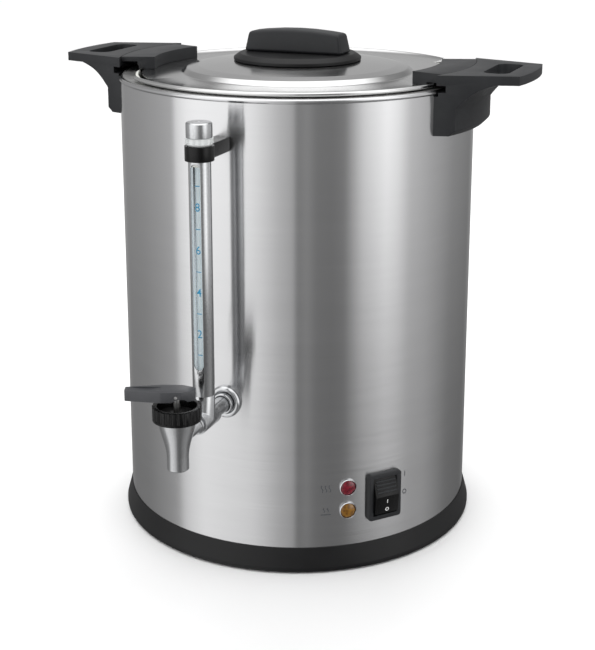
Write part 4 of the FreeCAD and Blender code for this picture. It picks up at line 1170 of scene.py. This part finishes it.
# %% I and O on the rocker
slope = math.degrees(math.atan(rocker_ridge / rocker_tall))
rocker_line = 0.6
rocker_marks = (("mark_on", [(0, -1.5), (0, 0), (0, 1.5)], -4.6),
                ("mark_off", arc((0, 0), 1.35, 90, 445, 24), -11.6))
for name, points, rise in rocker_marks:
    mark = strip(name, points, rocker_line)
    place = Vector((0, -(rocker_surface(rise) + 0.06), switch_height + rise)) * MM
    mark.matrix_world = Matrix.Translation(place) @ Matrix.Rotation(math.radians(slope + 90), 4, "X")
    settle(mark)
    on_rocker(mark)
    finish_piece(mark, "rocker", "gloss_black", white_ink)

# %% Inlet
softened_copy("inlet_moulding", "power_inlet", "kettle", "black_plastic", charcoal, 0.7)

# %% [markdown]
# ## Finishes for the pieces that keep their shape
# The rest of the frame's pieces are right as they are, so they only get a finish. They are inside the
# double wall or under the base, and show when the lid is off or the kettle is turned over.

# %% Finishes by piece
finishes = (
    (satin, ("boil_element", "keep_warm_element", "shank_nut", "wall_spacer", "tap_stem", "tap_lever_pin")),
    (zinc, ("base_plate", "base_screws", "heater_clamp", "heater_nut", "thermal_fuse", "inlet_screws",
            "gauge_clamp_screw", "left_backing_plate", "right_backing_plate", "handle_screws",
            "lid_lug_screws", "knob_screw")),
    (aluminium, ("heater_plate",)),
    (gloss_black, ("boil_thermostat", "keep_warm_thermostat", "lamp_holders")),
    (milky, ("terminal_block",)),
    (silicone, ("shank_gasket", "gauge_seals", "tap_seat_cup", "lid_seal")),
    (rubber, ("foot_ring",)),
    (brass, ("inlet_pins", "switch_terminals")),
    (chrome, ("tap_shank",)),
)
finished = []
for material, nodes in finishes:
    for node in nodes:
        piece = frame["nodes"][node]
        piece.data.materials.clear()
        piece.data.materials.append(material)
        finished.append(node)
shown = [node for node, piece in frame["nodes"].items() if not piece.hide_render]
print("frame pieces still shown without a finish:", sorted(set(shown) - set(finished)))

# %% [markdown]
# ## Studio
# A studio lights brushed steel with large soft panels, and leaves gaps between them: the dark gaps give the
# cylinder its shape. Here the panels are painted into the world by direction, so that they are endlessly
# tall. The floor is plain and pale, and isn't seen in the steel, as if the panels came down past it.

# %% Camera
camera_azimuth = 22.33
camera_distance = 1.1466
camera_height = 0.5475
camera_pitch = 14.51
camera_lens = 74.8412
bpy.ops.object.camera_add()
camera = bpy.context.object
camera.name = "studio_camera"
around = math.radians(camera_azimuth)
camera.location = (camera_distance * math.sin(around), -camera_distance * math.cos(around), camera_height)
camera.rotation_euler = (math.radians(90 - camera_pitch), 0, around)
camera.data.sensor_width = 36.0
camera.data.lens = camera_lens
camera.data.shift_y = -0.15
bpy.context.scene.camera = camera
print(f"lens {camera.data.lens:.1f} mm, {camera_distance:.2f} m away")

# %% Bearing of each direction of the world
world = bpy.data.worlds.new("studio")
bpy.context.scene.world = world
world.use_nodes = True
sky = world.node_tree
sky.nodes.clear()
direction = add_node(sky, "ShaderNodeTexCoord").outputs["Generated"]
turned_sky = add_node(sky, "ShaderNodeMapping", {"vector_type": "POINT"},
                      {"Rotation": (0, 0, -around)}, {"Vector": direction})
parts = add_node(sky, "ShaderNodeSeparateXYZ", links={"Vector": turned_sky.outputs["Vector"]})
minus_y = add_node(sky, "ShaderNodeMath", {"operation": "MULTIPLY"}, {1: -1.0}, {0: parts.outputs["Y"]})
bearing = add_node(sky, "ShaderNodeMath", {"operation": "ARCTAN2"},
                   links={0: parts.outputs["X"], 1: minus_y.outputs[0]})
share_round = add_node(sky, "ShaderNodeMapRange", values={"From Min": -math.pi, "From Max": math.pi},
                       links={"Value": bearing.outputs[0]})


# %% Panels, upper and lower
def panels(stops):
    """Brightness by bearing from the camera, in degrees, positive to its right."""
    ramp = add_node(sky, "ShaderNodeValToRGB", links={"Fac": share_round.outputs["Result"]})
    band = ramp.color_ramp
    while len(band.elements) < len(stops):
        band.elements.new(0.5)
    for element, (degrees, bright) in zip(band.elements, stops):
        element.position = degrees / 360 + 0.5
        element.color = (bright / 2, bright / 2, bright / 2, 1.0)
    return ramp.outputs["Color"]


upper = panels([
    (-180, 0.52), (-150, 0.34), (-120, 0.46), (-100, 0.56), (-86, 0.66), (-83, 1.2), (-74, 1.5),
    (-66, 1.55), (-34, 1.5), (-26, 1.3), (-12, 0.84), (-2, 0.62), (-1, 0.3), (6, 0.4), (12, 0.28),
    (22, 0.27), (30, 0.34), (42, 1.3), (58, 1.85), (66, 1.6), (76, 0.95), (94, 0.66), (120, 0.42),
    (150, 0.26), (180, 0.52)])
lower = panels([
    (-180, 0.35), (-150, 0.2), (-120, 0.24), (-100, 0.34), (-86, 0.44), (-83, 0.8), (-66, 1.1),
    (-30, 0.86), (-12, 0.52), (-2, 0.42), (-1, 0.2), (6, 0.26), (12, 0.19), (22, 0.17), (30, 0.17),
    (42, 0.2), (58, 0.3), (76, 0.36), (94, 0.38), (120, 0.18), (150, 0.14), (180, 0.35)])
# %% Ceiling and backdrop
level = add_node(sky, "ShaderNodeMapRange", {"interpolation_type": "SMOOTHSTEP"},
                 {"From Min": -0.45, "From Max": -0.1}, {"Value": parts.outputs["Z"]})
wall = add_node(sky, "ShaderNodeMix", {"data_type": "RGBA"}, links={"Factor": level.outputs["Result"]})
sky.links.new(lower, wall.inputs[6])
sky.links.new(upper, wall.inputs[7])
overhead = add_node(sky, "ShaderNodeMapRange", {"interpolation_type": "SMOOTHSTEP"},
                    {"From Min": 0.6, "From Max": 0.9}, {"Value": parts.outputs["Z"]})
ceiling = add_node(sky, "ShaderNodeMix", {"data_type": "RGBA"},
                   links={"Factor": overhead.outputs["Result"]})
sky.links.new(wall.outputs[2], ceiling.inputs[6])
ceiling_grey = 0.98
ceiling.inputs[7].default_value = (ceiling_grey, ceiling_grey, ceiling_grey, 1.0)
studio = add_node(sky, "ShaderNodeBackground", values={"Strength": 2.0},
                  links={"Color": ceiling.outputs[2]})
backdrop = add_node(sky, "ShaderNodeBackground", values={"Color": (1, 1, 1, 1), "Strength": 1.0})
ray = add_node(sky, "ShaderNodeLightPath")
choose = add_node(sky, "ShaderNodeMixShader", links={0: ray.outputs["Is Camera Ray"],
                                                      1: studio.outputs["Background"],
                                                      2: backdrop.outputs["Background"]})
add_node(sky, "ShaderNodeOutputWorld", links={"Surface": choose.outputs["Shader"]})

# %% Floor and key light
bpy.ops.mesh.primitive_circle_add(vertices=96, radius=9.0, fill_type="NGON", location=(0, 0, 0))
floor = bpy.context.object
floor.name = "studio_floor"
pale, pale_tree, pale_shader = new_material("pale_matt_table", {
    "Base Color": linear("F2F2F2"), "Roughness": 0.5})
mist = noise(pale_tree, mapped(pale_tree, (3.0, 3.0, 3.0)), 2.0)
pale_tree.links.new(tint(pale_tree, mist, "F0F0F0", "F4F4F4"), pale_shader.inputs["Base Color"])
floor.data.materials.append(pale)
floor.visible_glossy = False

bpy.ops.object.light_add(type="AREA", location=(-0.4, 0.95, 1.8))
key = bpy.context.object
key.name = "overhead_softbox"
key.data.shape = "RECTANGLE"
key.data.size = 1.6
key.data.size_y = 1.2
key.data.energy = 16.0
key.visible_camera = False
key.visible_glossy = False
key.rotation_euler = (Vector((0, 0, 0.2)) - key.location).to_track_quat("-Z", "Y").to_euler()
bpy.context.scene.view_settings.view_transform = "Standard"
